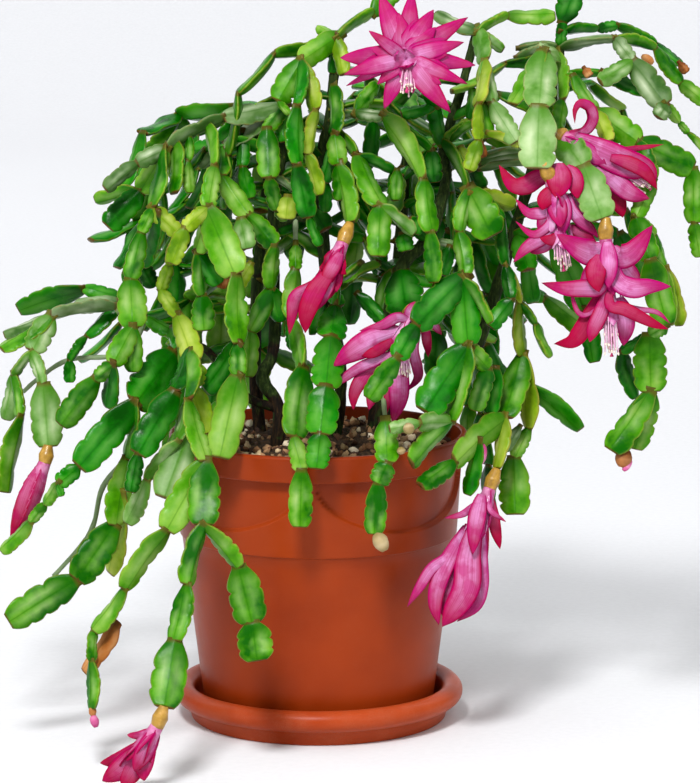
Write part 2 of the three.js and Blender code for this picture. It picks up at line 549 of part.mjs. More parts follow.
// ---- Blooms ----
// Petals are [share of the tube where it starts, across, up, out, width].
const BLOOMS = {
  bloom_top: { base: [51, 352, 18.6], neck: [49, 353, 30], throat: [47, 355, 50],
    stamens: [47, 338, 76],
    petals: [[0.8, 33, 389, 44, 12], [0.8, 50, 391, 40, 10], [0.9, 61, 381, 52, 11], [0.8, 79, 377, 46, 9],
      [1, 77, 364, 58, 8], [0.9, 83, 352, 54, 9], [1, 79, 342, 60, 7], [1, 70, 327, 60, 10],
      [0.9, 35, 329, 52, 9], [0.8, 15, 341, 52, 5], [1, 14, 347, 58, 8], [0.8, 12, 356, 50, 11],
      [1, 27, 370, 62, 6]] },
  bloom_right_upper: { base: [127.3, 316.3, 25.4], neck: [131, 314, 40], throat: [141, 308, 48],
    stamens: [171, 288, 64],
    petals: [[0.9, 173, 300, 56, 11], [1, 174, 294, 50, 12], [0.6, 177, 309, 50, 4], [0.9, 164, 276, 60, 9],
      [1, 171, 285, 62, 9], [0.8, 155, 272, 58, 5], [0.2, 143, 325, 42, 5], [0.2, 131, 329, 44, 5]] },
  bloom_right_inner: { base: [121, 301, 62], neck: [124, 294, 68], throat: [127, 270, 66],
    stamens: [127, 244, 72],
    petals: [[0.1, 95, 298, 50, 9], [0.1, 116, 278, 74, 9], [0.2, 135, 284, 62, 8], [1, 104, 280, 60, 6],
      [1, 105, 267, 66, 7], [1, 104, 250, 66, 9], [1, 145, 258, 60, 9], [0.9, 137, 246, 68, 11]] },
  bloom_right_open: { base: [148, 271, 58], neck: [150, 259, 62], throat: [152, 236, 66],
    stamens: [155, 196, 74],
    petals: [[0.1, 128, 260, 76, 12], [0.1, 174, 266, 70, 12], [0.4, 117, 235, 80, 9],
      [0.4, 146, 230, 84, 9], [0.4, 183, 234, 74, 11], [1, 184, 211, 74, 7], [1, 164, 213, 84, 7],
      [1, 125, 203, 74, 5], [1, 134, 203, 78, 8], [1, 143, 205, 84, 7]] },
  bloom_centre_closed: { base: [17, 268, 34], neck: [13, 257, 40], throat: [5, 238, 44],
    stamens: null,
    petals: [[0.8, -15, 209, 48, 5], [1, -8, 210, 54, 8], [0.6, 11, 232, 42, 5], [0.6, 15, 241, 48, 4],
      [1, -2, 214, 48, 8], [0.9, -6, 219, 40, 7]] },
  bloom_middle: { base: [47, 220, 40.8], neck: [52, 221, 54], throat: [43, 200, 64],
    stamens: [46, 185, 70],
    petals: [[0.3, 22, 211, 66, 7], [0.7, 16, 190, 64, 10], [0.8, 19, 169, 70, 9], [0.8, 27, 168, 64, 8],
      [1, 41, 161, 72, 10], [0.5, 50, 177, 58, 7], [0.2, 58, 196, 54, 7], [0.5, 15, 202, 56, 10]] },
  bloom_low_right: { base: [96, 135, 54], neck: [92, 124, 58], throat: [84, 98, 62],
    stamens: null,
    petals: [[0.1, 98, 92, 58, 7], [0.1, 68, 108, 68, 3.5], [0.1, 100, 106, 52, 3.5], [0.6, 49, 60, 72, 6],
      [1, 64, 51, 76, 9], [0.9, 68, 49, 68, 8], [0.9, 76, 53, 62, 9], [0.7, 88, 66, 60, 9],
      [1, 82, 58, 76, 9]] },
  bloom_far_left: { base: [-145, 148, 41], neck: [-147, 138, 43], throat: [-155, 120, 46],
    stamens: null,
    petals: [[0.8, -166, 98, 48, 7], [1, -163, 100, 54, 7], [0.7, -160, 104, 44, 7],
      [0.5, -152, 112, 50, 6]] },
  bloom_low_left: { base: [-84, 4, 160], neck: [-88, -8, 164], throat: [-97, -22, 166],
    stamens: [-106, -36, 168],
    petals: [[0.7, -119, -28, 162, 7], [1, -118, -38, 166, 8], [0.6, -95, -38, 170, 8],
      [0.4, -91, -28, 172, 6], [0.2, -104, -12, 166, 6], [1, -108, -43, 168, 9]] },
};

// ---- Stems at the back ----
// They leave the back trunks at several heights, arch out and hang, by one rule with a seeded draw.
const BACK_TRUNKS = ['trunk_back_right', 'trunk_back_left'];
const BACK_STEMS_EACH = 6;
const BACK_FROM = 35; // degrees round the pot, from its right side over the back
const BACK_STEP = 35; // length of a segment
const BACK_RISE = [-4, 34]; // degrees above level at the lowest and the highest stem
const BACK_DROOP = 36; // degrees lost at each segment
const BACK_LOWEST = 70; // no joint is lower than this
const BACK_WIDTHS = [13.5, 15];
const BACK_JOINTS = 5; // at most, after the hold
const BACK_STEEPEST = -84; // degrees
const BACK_SWAY = 10; // sideways spread of a joint

function seededDraw(seed) {
  let state = seed;
  return () => {
    state = (state * 1664525 + 1013904223) % 4294967296;
    return state / 4294967296;
  };
}

// Where stem number `index` of a back trunk leaves it: the stems take its upper half in turn.
function backHold(trunk, index) {
  const joints = WOOD[trunk][0].map(sighted);
  const share = (index + 1) / BACK_STEMS_EACH;
  return joints[1].clone().lerp(joints[3], share);
}

function backJoints(trunkIndex, index) {
  const draw = seededDraw(71 + 10 * trunkIndex + index);
  const spread = (180 - 2 * BACK_FROM) / 2;
  const order = [0, 3, 1, 4, 2, 5][index];
  const degrees = BACK_FROM + spread * (trunkIndex + (order + 0.5) / BACK_STEMS_EACH);
  const turn = THREE.MathUtils.degToRad(degrees);
  const way = new THREE.Vector3(Math.cos(turn), Math.sin(turn), 0);
  const across = new THREE.Vector3(-Math.sin(turn), Math.cos(turn), 0);
  const share = index / (BACK_STEMS_EACH - 1);
  let rise = BACK_RISE[0] + (BACK_RISE[1] - BACK_RISE[0]) * share + 8 * (draw() - 0.5);
  const joints = [backHold(BACK_TRUNKS[trunkIndex], index)];
  for (let i = 0; i < BACK_JOINTS; i += 1) {
    const angle = THREE.MathUtils.degToRad(Math.max(rise, BACK_STEEPEST));
    const step = BACK_STEP * (0.85 + 0.3 * draw());
    const next = joints[i].clone().addScaledVector(way, step * Math.cos(angle))
      .addScaledVector(across, (draw() - 0.5) * BACK_SWAY);
    next.z += step * Math.sin(angle);
    rise -= BACK_DROOP * (0.8 + 0.4 * draw());
    if (next.z < BACK_LOWEST) break;
    joints.push(next);
  }
  return { joints, way };
}

function backSolid({ joints, way }, grow = 0) {
  const inward = way.clone().negate();
  const laid = joints.slice(1).map((end, i) => layOut(joints[i], end, BACK_WIDTHS[i % 2], inward, 1));
  return segmentsSolid(laid, grow);
}

// ---- Pot, saucer and soil ----
function turnedGeometry(profile, sides) {
  const outline = profile.map(([radius, height]) => new THREE.Vector2(radius, height));
  const geometry = new THREE.LatheGeometry(outline, sides);
  geometry.rotateX(Math.PI / 2);
  return geometry;
}

function saucerProfile() {
  const inner = SAUCER_ROLL_RADIUS - SAUCER_ROLL_THICK;
  const roll = Array.from({ length: SAUCER_ROLL_POINTS }, (_, i) => {
    const angle = THREE.MathUtils.degToRad(-95 + (i * 265) / (SAUCER_ROLL_POINTS - 1));
    return [SAUCER_ROLL_RADIUS + SAUCER_ROLL_THICK * Math.cos(angle),
      SAUCER_ROLL_HEIGHT + SAUCER_ROLL_THICK * Math.sin(angle)];
  });
  return [[0, 0], [SAUCER_BASE_RADIUS, 0], [SAUCER_BASE_RADIUS + 1.5, SAUCER_FLOOR - 0.4], ...roll,
    [inner - 2, SAUCER_FLOOR], [0, SAUCER_FLOOR]];
}

function potProfile() {
  const wall = POT_WALL;
  const under = POT_TOP - POT_RIM_BAND;
  return [[0, POT_SEAT], [POT_BOTTOM_RADIUS, POT_SEAT],
    [POT_STEP_RADIUS, POT_STEP_HEIGHT - 0.8], [POT_STEP_RADIUS + 1.2, POT_STEP_HEIGHT + 0.4],
    [POT_NECK_RADIUS, under - 0.4], [POT_RIM_RADIUS - 0.6, under + 0.4], [POT_RIM_RADIUS, POT_TOP - 1.2],
    [POT_RIM_RADIUS - 1.2, POT_TOP], [POT_RIM_RADIUS - wall, POT_TOP - 0.8],
    [POT_NECK_RADIUS - wall + 0.6, under], [POT_STEP_RADIUS - wall, POT_STEP_HEIGHT],
    [POT_BOTTOM_RADIUS - wall, POT_SEAT + wall], [0, POT_SEAT + wall]];
}

function soilProfile() {
  const wall = POT_WALL + CLEARANCE;
  const floor = POT_SEAT + POT_WALL + CLEARANCE;
  const share = (SOIL_TOP - POT_STEP_HEIGHT) / (POT_TOP - POT_RIM_BAND - POT_STEP_HEIGHT);
  const flare = (POT_NECK_RADIUS - POT_STEP_RADIUS) * Math.min(share, 1);
  const topRadius = POT_STEP_RADIUS + flare - wall;
  return [[0, floor], [POT_BOTTOM_RADIUS - wall - 0.2, floor],
    [POT_STEP_RADIUS - wall - 0.2, POT_STEP_HEIGHT], [topRadius - 0.2, SOIL_TOP - 1.5],
    [topRadius * 0.66, SOIL_TOP + 0.4 * SOIL_CROWN], [topRadius * 0.3, SOIL_TOP + SOIL_CROWN],
    [0, SOIL_TOP + 0.8 * SOIL_CROWN]];
}

// ---- The assembly ----
const plant = new THREE.Group();

const FINISHES = {
  plastic: new THREE.MeshStandardMaterial({ color: 0x93300d, roughness: 0.42, metalness: 0 }),
  saucer: new THREE.MeshStandardMaterial({ color: 0xa54a30, roughness: 0.4, metalness: 0 }),
  soil: new THREE.MeshStandardMaterial({ color: 0x2b1d15, roughness: 0.95, metalness: 0 }),
  wood: new THREE.MeshStandardMaterial({ color: 0x6b4a26, roughness: 0.85, metalness: 0 }),
  leaf: new THREE.MeshStandardMaterial({ color: 0x3f8f1e, roughness: 0.45, metalness: 0 }),
  petal: new THREE.MeshStandardMaterial({ color: 0xd0267a, roughness: 0.5, metalness: 0 }),
};

function addPiece(name, solid, finish) {
  const mesh = new THREE.Mesh(geometryOf(solid), FINISHES[finish]);
  mesh.name = name;
  plant.add(mesh);
}

const woodRoom = wasm.Manifold.union(Object.values(WOOD).map((branches) => woodSolid(branches, CLEARANCE)));

addPiece('saucer', solidOf(turnedGeometry(saucerProfile(), SAUCER_SIDES)), 'saucer');
addPiece('pot', solidOf(turnedGeometry(potProfile(), POT_SIDES)), 'plastic');
addPiece('soil', solidOf(turnedGeometry(soilProfile(), SOIL_SIDES)).subtract(woodRoom), 'soil');
for (const [name, branches] of Object.entries(WOOD)) addPiece(name, woodSolid(branches), 'wood');

// Each stem or bloom is cut clear of the wood and of the pieces already placed, so it hugs what
// carries it.
const placed = [];
function addGrown(name, make, finish) {
  let solid = make(0).subtract(woodRoom);
  for (const room of placed) solid = solid.subtract(room);
  addPiece(name, largestPiece(solid), finish);
  placed.push(make(CLEARANCE));
}

for (const [name, chains] of Object.entries(LEAFY)) {
  addGrown(name, (grow) => leafySolid(chains, grow), 'leaf');
}
for (const [name, bloom] of Object.entries(BLOOMS)) {
  addGrown(name, (grow) => bloomSolid(bloom, grow), 'petal');
}
BACK_TRUNKS.forEach((trunk, trunkIndex) => {
  for (let i = 0; i < BACK_STEMS_EACH; i += 1) {
    const name = `${trunk.replace('trunk_', '')}_stem_${i + 1}`;
    addGrown(name, (grow) => backSolid(backJoints(trunkIndex, i), grow), 'leaf');
  }
});

export default plant;
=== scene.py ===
import math

import bpy
import numpy as np
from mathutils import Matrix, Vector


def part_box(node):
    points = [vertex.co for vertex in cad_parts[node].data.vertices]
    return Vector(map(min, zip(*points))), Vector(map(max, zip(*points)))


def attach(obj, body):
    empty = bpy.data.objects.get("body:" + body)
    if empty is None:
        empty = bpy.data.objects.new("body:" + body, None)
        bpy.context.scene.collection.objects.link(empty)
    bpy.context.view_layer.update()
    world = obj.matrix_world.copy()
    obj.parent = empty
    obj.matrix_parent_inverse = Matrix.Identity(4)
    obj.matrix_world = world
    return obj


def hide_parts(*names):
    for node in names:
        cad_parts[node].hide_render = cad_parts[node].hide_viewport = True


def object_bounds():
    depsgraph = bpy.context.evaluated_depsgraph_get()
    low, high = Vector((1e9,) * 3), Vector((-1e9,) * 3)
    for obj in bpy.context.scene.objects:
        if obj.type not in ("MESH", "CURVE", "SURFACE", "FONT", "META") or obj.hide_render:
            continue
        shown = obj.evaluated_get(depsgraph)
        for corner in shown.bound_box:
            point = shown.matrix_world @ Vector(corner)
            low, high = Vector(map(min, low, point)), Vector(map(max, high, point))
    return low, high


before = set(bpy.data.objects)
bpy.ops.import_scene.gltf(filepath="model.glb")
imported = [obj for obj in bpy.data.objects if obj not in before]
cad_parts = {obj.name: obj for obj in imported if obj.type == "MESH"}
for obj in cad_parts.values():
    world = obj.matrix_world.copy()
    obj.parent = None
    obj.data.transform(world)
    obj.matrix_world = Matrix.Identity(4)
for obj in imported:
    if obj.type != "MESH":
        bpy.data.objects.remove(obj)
cad_low, cad_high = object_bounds()


# ---- Saucer ----
# One round saucer of terracotta-coloured polypropylene, injection moulded, with a rolled rim that
# stands out over its flat base. The mould leaves a soft semi-gloss, dulled by dust and lime.
MM = 0.001
SAUCER_BASE_RADIUS = 69 * MM
SAUCER_FLOOR = 4 * MM
SAUCER_RING = 40 * MM  # radius of the low ring in its floor
SAUCER_ROLL_THICK = 5.8 * MM
ROUND_SIDES = 160


def linear(colour):
    """An sRGB hex colour as the linear one that shaders take."""
    channels = [int(colour[i:i + 2], 16) / 255 for i in (1, 3, 5)]
    return [c / 12.92 if c <= 0.04045 else ((c + 0.055) / 1.055) ** 2.4 for c in channels] + [1]


def add(tree, kind, values=None, links=None, stops=None, **settings):
    """Adds a node to a material, with its input values, its links and, on a ramp, its stops. A link
    comes from a node's first output, or from the output given."""
    node = tree.nodes.new("ShaderNode" + kind)
    for name, value in settings.items():
        setattr(node, name, value)
    for socket, value in (values or {}).items():
        node.inputs[socket].default_value = linear(value) if isinstance(value, str) else value
    for socket, source in (links or {}).items():
        output = source.outputs[0] if isinstance(source, bpy.types.Node) else source
        tree.links.new(output, node.inputs[socket])
    if stops:
        while len(node.color_ramp.elements) < len(stops):
            node.color_ramp.elements.new(0.5)
        for element, (place, value) in zip(node.color_ramp.elements, stops):
            element.position = place
            element.color = linear(value) if isinstance(value, str) else (value, value, value, 1)
    return node


def new_material(name):
    """An empty material and its tree."""
    material = bpy.data.materials.new(name)
    material.use_nodes = True
    material.node_tree.nodes.clear()
    return material, material.node_tree


def finish_material(tree, values, links):
    """Closes a material with its surface shader and output."""
    surface = add(tree, "BsdfPrincipled", values, links)
    add(tree, "OutputMaterial", links={"Surface": surface})


def moulded_plastic(name, body, shade, dust, dusty):
    """Injection-moulded polypropylene: even colour, soft gloss, fine dust and faint lime marks."""
    material, tree = new_material(name)
    place = add(tree, "TexCoord").outputs["Object"]
    # Slow drifts of tone about 60 mm across, from the melt and from handling.
    drift = add(tree, "TexNoise", {"Scale": 1 / (60 * MM), "Detail": 3}, {"Vector": place})
    tone = add(tree, "ValToRGB", links={"Fac": drift}, stops=[(0.32, shade), (0.62, body)])
    # Dust settles in patches about 9 mm across, broken up by grains of half a millimetre.
    patch = add(tree, "TexNoise", {"Scale": 1 / (9 * MM), "Detail": 8, "Roughness": 0.7}, {"Vector": place})
    grain = add(tree, "TexNoise", {"Scale": 1 / (0.5 * MM), "Detail": 2}, {"Vector": place})
    mixed = add(tree, "Math", links={0: patch, 1: grain}, operation="MULTIPLY")
    cover = add(tree, "ValToRGB", links={"Fac": mixed}, stops=[(0.2, 0.0), (0.46, dusty)])
    colour = add(tree, "MixRGB", {"Color2": dust}, {"Fac": cover, "Color1": tone})
    gloss = add(tree, "ValToRGB", links={"Fac": patch}, stops=[(0.3, 0.3), (0.7, 0.42)])
    # The eroded steel of the mould leaves a texture finer than the eye resolves from here.
    bump = add(tree, "Bump", {"Strength": 0.12, "Distance": 0.15 * MM}, {"Height": grain})
    finish_material(tree, {"IOR": 1.49, "Specular IOR Level": 0.14},
                    {"Base Color": colour, "Roughness": gloss, "Normal": bump})
    return material


def skin(sections, foot, head):
    """A closed surface over a row of ringed sections, with one point at either end."""
    rings, columns = sections.shape[:2]
    ring, column = np.mgrid[0:rings - 1, 0:columns]
    low = ring * columns + column
    beside = ring * columns + (column + 1) % columns
    quads = np.stack([low, beside, beside + columns, low + columns], -1).reshape(-1, 4)
    first = np.arange(columns)
    after = (first + 1) % columns
    top = (rings - 1) * columns
    ends = rings * columns
    triangles = np.concatenate([np.stack([np.full(columns, ends), after, first], -1),
                                np.stack([np.full(columns, ends + 1), top + first, top + after], -1)])
    points = np.concatenate([sections.reshape(-1, 3), [foot, head]])
    a, b, c = (points[quads[:, i]] - foot for i in range(3))
    if np.einsum("ij,ij->i", np.cross(a, b), c).sum() < 0:
        quads = quads[:, ::-1]
        triangles = triangles[:, ::-1]
    return points, quads, triangles


def assemble(name, parts, materials):
    """One smooth mesh object of several parts. A part holds its points, quads, triangles, the
    number of its material, and a mark for each point: across, along and the part's own lot."""
    mesh = bpy.data.meshes.new(name)
    corners, totals, numbers = [], [], []
    start = 0
    for points, quads, triangles, number, _ in parts:
        # A part that would stand out of the solids' box is shifted back into it.
        points += np.maximum(np.subtract(cad_low, points.min(0)), 0)
        points -= np.maximum(np.subtract(points.max(0), cad_high), 0)
        for faces in (quads, triangles):
            if len(faces):
                corners.append((np.asarray(faces) + start).ravel())
                totals.append(np.full(len(faces), len(faces[0])))
                numbers.append(np.full(len(faces), number))
        start += len(points)
    corners = np.concatenate(corners)
    totals = np.concatenate(totals)
    mesh.vertices.add(start)
    points = np.concatenate([part[0] for part in parts])
    mesh.vertices.foreach_set("co", points.astype(np.float32).ravel())
    mesh.loops.add(len(corners))
    mesh.loops.foreach_set("vertex_index", corners.astype(np.int32))
    mesh.polygons.add(len(totals))
    mesh.polygons.foreach_set("loop_start", (np.cumsum(totals) - totals).astype(np.int32))
    mesh.polygons.foreach_set("material_index", np.concatenate(numbers).astype(np.int32))
    mesh.polygons.foreach_set("use_smooth", np.ones(len(totals), bool))
    marks = mesh.attributes.new("mark", "FLOAT_VECTOR", "POINT")
    own_marks = np.concatenate([part[4] for part in parts])
    marks.data.foreach_set("vector", own_marks.astype(np.float32).ravel())
    mesh.update(calc_edges=True)
    mesh.validate()
    for material in materials:
        mesh.materials.append(material)
    piece = bpy.data.objects.new(name, mesh)
    bpy.context.scene.collection.objects.link(piece)
    return piece


def stand_for(piece, node):
    """The piece rides with the plant and is shown in place of the node."""
    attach(piece, "root")
    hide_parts(node)


def arc(centre, radius, first, last, count):
    """Points of a profile along an arc, in degrees from the horizontal."""
    angles = np.radians(np.linspace(first, last, count))
    return [(centre[0] + radius * math.cos(a), centre[1] + radius * math.sin(a)) for a in angles]


def turned(profile, sides=ROUND_SIDES, push=None):
    """A profile turned about the upright axis, from an axis point to an axis point."""
    outline = np.array(profile)
    turn = np.linspace(0, 2 * math.pi, sides, endpoint=False)
    radius = np.repeat(outline[1:-1, :1], sides, 1)
    height = np.repeat(outline[1:-1, 1:], sides, 1)
    if push is not None:
        radius = radius + push(np.degrees(turn)[None, :], height, radius)
    sections = np.stack([radius * np.sin(turn), -radius * np.cos(turn), height], -1)
    return skin(sections, np.array([0, 0, outline[0, 1]]), np.array([0, 0, outline[-1, 1]]))


def plain(shape, number=0):
    """A part whose marks all stay at nought."""
    return (*shape, number, np.zeros((len(shape[0]), 3)))


saucer_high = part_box("saucer")[1]
roll_radius = saucer_high.x - SAUCER_ROLL_THICK
roll_height = saucer_high.z - SAUCER_ROLL_THICK
saucer_profile = [(0, 0.6 * MM), (SAUCER_BASE_RADIUS - 9 * MM, 0.6 * MM)]
saucer_profile += [(SAUCER_BASE_RADIUS - 7 * MM, 0)]
saucer_profile += arc((SAUCER_BASE_RADIUS - 1 * MM, 1 * MM), 1 * MM, -90, 0, 5)
saucer_profile += [(SAUCER_BASE_RADIUS + 0.5 * MM, SAUCER_FLOOR - 1 * MM),
                   (SAUCER_BASE_RADIUS + 1.6 * MM, SAUCER_FLOOR + 3.6 * MM)]
saucer_profile += arc((roll_radius, roll_height), SAUCER_ROLL_THICK - 0.1 * MM, -96, 172, 30)
saucer_profile += [(roll_radius - SAUCER_ROLL_THICK, roll_height - 2 * MM)]
saucer_profile += arc((roll_radius - SAUCER_ROLL_THICK - 3 * MM, SAUCER_FLOOR + 3 * MM), 3 * MM, 0, -90, 6)
for step, rise in ((2, 0), (1, 0.7), (-1, 0.7), (-2, 0)):
    saucer_profile.append((SAUCER_RING + step * MM, SAUCER_FLOOR + rise * MM))
saucer_profile.append((0, SAUCER_FLOOR))
saucer = assemble("saucer_turned", [plain(turned(saucer_profile))],
                  [moulded_plastic("saucer_polypropylene", "#ac431c", "#93300a", "#b87254", 0.22)])
stand_for(saucer, "saucer")


# ---- Pot ----
# A tapered nursery pot of the same polypropylene, a little darker: a plain rim band, a step two
# thirds up, and between them four shallow swags that hang from the rim. It stands in the saucer.
POT_BOTTOM_RADIUS = 61.5 * MM
POT_STEP_RADIUS = 73.4 * MM
POT_STEP_HEIGHT = 101 * MM
POT_NECK_RADIUS = 77 * MM
POT_RIM_BAND = 14 * MM
POT_WALL = 2.4 * MM
SWAGS = 4
SWAG_HALF = 43  # degrees
SWAG_FIRST = 42  # degrees from the front to the middle of the first one
SWAG_DROP = 30 * MM
SWAG_DEPTH = 2.4 * MM
SWAG_EDGE = 1.5 * MM

pot_low, pot_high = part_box("pot")
pot_seat = pot_low.z
pot_top = pot_high.z
pot_rim_radius = pot_high.y
rim_under = pot_top - POT_RIM_BAND


def swags(turn, height, radius):
    """How far the wall draws in: the neck is sunk above each hanging arc."""
    spacing = 360 / SWAGS
    away = (turn - SWAG_FIRST + spacing / 2) % spacing - spacing / 2
    share = np.clip(np.abs(away) / SWAG_HALF, 0, 1)
    arc_height = rim_under - SWAG_DROP * np.sqrt(1 - share ** 2)
    rise = np.clip((height - arc_height) / SWAG_EDGE, 0, 1)
    outside = (radius > POT_STEP_RADIUS + 0.6 * MM) & (height < rim_under) & (height > POT_STEP_HEIGHT)
    return np.where(outside, -SWAG_DEPTH * rise * rise * (3 - 2 * rise), 0)


def wall(first, last, count):
    """Points of a straight stretch of a profile, without its last one."""
    return [tuple(p) for p in np.linspace(first, last, count, endpoint=False)]


pot_profile = [(0, pot_seat + 1.5 * MM), (POT_BOTTOM_RADIUS - 6 * MM, pot_seat + 1.5 * MM),
               (POT_BOTTOM_RADIUS - 4 * MM, pot_seat)]
pot_profile += arc((POT_BOTTOM_RADIUS - 1.5 * MM, pot_seat + 1.5 * MM), 1.5 * MM, -90, -8, 6)
pot_profile += wall((POT_BOTTOM_RADIUS + 0.3 * MM, pot_seat + 3 * MM),
                    (POT_STEP_RADIUS, POT_STEP_HEIGHT - MM), 16)
pot_profile += arc((POT_STEP_RADIUS - 0.1 * MM, POT_STEP_HEIGHT - 0.3 * MM), 0.3 * MM, -60, 0, 3)
pot_profile += arc((POT_STEP_RADIUS + 0.3 * MM, POT_STEP_HEIGHT + 1.1 * MM), 0.9 * MM, -90, 0, 5)
pot_profile += wall((POT_STEP_RADIUS + 1.25 * MM, POT_STEP_HEIGHT + 2 * MM),
                    (POT_NECK_RADIUS, rim_under - 0.3 * MM), 76)
pot_profile += [(POT_NECK_RADIUS, rim_under - 0.2 * MM), (POT_NECK_RADIUS + 0.2 * MM, rim_under)]
pot_profile += arc((pot_rim_radius - 1.4 * MM, rim_under + 0.9 * MM), 0.9 * MM, -90, 0, 5)
pot_profile += wall((pot_rim_radius - 0.4 * MM, rim_under + 2 * MM), (pot_rim_radius, pot_top - 3 * MM), 5)
pot_profile += arc((pot_rim_radius - 1.7 * MM, pot_top - 1.7 * MM), 1.7 * MM, 0, 90, 8)
pot_profile += arc((pot_rim_radius - POT_WALL - 0.2 * MM, pot_top - 1 * MM), 1 * MM, 90, 180, 6)
pot_profile += wall((pot_rim_radius - POT_WALL - 1.3 * MM, pot_top - 3 * MM),
                    (POT_NECK_RADIUS - POT_WALL, rim_under - MM), 5)
pot_profile += [(POT_NECK_RADIUS - POT_WALL, rim_under - MM), (POT_STEP_RADIUS - POT_WALL, POT_STEP_HEIGHT),
                (POT_BOTTOM_RADIUS - POT_WALL, pot_seat + POT_WALL), (0, pot_seat + POT_WALL)]
pot = assemble("pot_turned", [plain(turned(pot_profile, 2 * ROUND_SIDES, swags))],
               [moulded_plastic("pot_polypropylene", "#96350a", "#7f2803", "#a05a3c", 0.08)])
stand_for(pot, "pot")


# ---- Soil ----
# Peat potting soil, moist and nearly black, heaped a little in the middle. Grains of perlite and
# chips of bark lie in its surface, most of them washed to the edge.
SOIL_CLOD = 7 * MM
SOIL_ROUGH = 2.2 * MM
SOIL_RINGS = 46
CRUMB_SIDES = 7
# Of each: seed, count, smallest and largest size, flatness, and the share that lies at the edge.
PERLITE = (11, 230, (1.4 * MM, 5 * MM), 0.55, 0.62)
BARK = (12, 420, (1.4 * MM, 4.2 * MM), 0.4, 0.45)

soil_low, soil_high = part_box("soil")
soil_radius = soil_high.x - 0.4 * MM
SOIL_EDGE = soil_high.z - 4.4 * MM


def soil_height(radius):
    """The heaped surface before its clods."""
    share = np.clip(radius / soil_radius, 0, 1)
    return SOIL_EDGE + (soil_high.z - SOIL_EDGE) * 0.75 * (1 - share ** 2)


def clods(x, y):
    """Lumps of soil: a few waves of unlike length and heading laid over each other."""
    total = np.zeros_like(x)
    rng = np.random.default_rng(5)
    for octave in range(1, 5):
        for _ in range(5):
            heading = rng.uniform(0, 2 * math.pi)
            wave = 2 * math.pi * octave / SOIL_CLOD * rng.uniform(0.6, 1.3)
            along = x * math.cos(heading) + y * math.sin(heading)
            total += np.sin(wave * along + rng.uniform(0, 6)) / octave
    return total / 9


def potting_soil():
    """Moist peat: dark crumbs, matt, with paler fibres."""
    material, tree = new_material("moist_peat_soil")
    place = add(tree, "TexCoord").outputs["Object"]
    crumbs = add(tree, "TexNoise", {"Scale": 1 / (2.2 * MM), "Detail": 9, "Roughness": 0.75},
                 {"Vector": place})
    colour = add(tree, "ValToRGB", links={"Fac": crumbs},
                 stops=[(0.3, "#0c0703"), (0.46, "#28190c"), (0.58, "#573d24"), (0.72, "#967450")])
    bump = add(tree, "Bump", {"Strength": 0.9, "Distance": 0.9 * MM}, {"Height": crumbs})
    finish_material(tree, {"Roughness": 0.92, "IOR": 1.4}, {"Base Color": colour, "Normal": bump})
    return material


def crumbly(name, stops, grit, rough):
    """A mineral or woody crumb: colour by lot, broken by its own fine grit."""
    material, tree = new_material(name)
    place = add(tree, "TexCoord").outputs["Object"]
    own_mark = add(tree, "Attribute", attribute_name="mark").outputs["Vector"]
    mark = add(tree, "SeparateXYZ", links={0: own_mark})
    fine = add(tree, "TexNoise", {"Scale": 1 / grit, "Detail": 5}, {"Vector": place})
    spread = add(tree, "Math", {1: 0.35}, {0: fine}, operation="MULTIPLY_ADD")
    tree.links.new(mark.outputs[2], spread.inputs[2])
    colour = add(tree, "ValToRGB", links={"Fac": spread}, stops=stops)
    bump = add(tree, "Bump", {"Strength": 0.7, "Distance": 0.3 * MM}, {"Height": fine})
    finish_material(tree, {"Roughness": rough, "IOR": 1.5}, {"Base Color": colour, "Normal": bump})
    return material


def crumb(rng, centre, size, flat, lot):
    """A small broken lump: a ball of few faces with every corner pushed in or out."""
    rings = np.radians([25, 60, 95, 130, 160])[:, None]
    turn = np.linspace(0, 2 * math.pi, CRUMB_SIDES, endpoint=False)
    ball = np.stack([np.sin(rings) * np.cos(turn), np.sin(rings) * np.sin(turn),
                     np.repeat(np.cos(rings), CRUMB_SIDES, 1)], -1)
    ball = ball * rng.uniform(0.6, 1.15, ball.shape[:2])[..., None]
    axes = np.linalg.qr(rng.normal(size=(3, 3)))[0]
    axes = axes * (size * np.array([1, rng.uniform(0.6, 0.9), flat]))[:, None]
    points, quads, triangles = skin(ball @ axes + centre, centre + axes[2], centre - axes[2])
    return points, quads, triangles, 0, np.tile([0, 0, lot], (len(points), 1))


def scattered(seed, count, sizes, flat, edge_share):
    """Crumbs over the soil, a share of them near the edge."""
    rng = np.random.default_rng(seed)
    crumbs = []
    for _ in range(count):
        near_edge = rng.random() < edge_share
        share = rng.uniform(0.8, 0.965) if near_edge else math.sqrt(rng.uniform(0.02, 0.85))
        radius = soil_radius * share
        turn = rng.uniform(0, 2 * math.pi)
        x = radius * math.cos(turn)
        y = radius * math.sin(turn)
        size = rng.uniform(*sizes) * rng.uniform(0.7, 1)
        height = soil_height(radius) + SOIL_ROUGH * float(clods(np.array(x), np.array(y)))
        centre = np.array([x, y, min(height + 0.25 * size, pot_top - size)])
        crumbs.append(crumb(rng, centre, size, flat, rng.random()))
    return crumbs


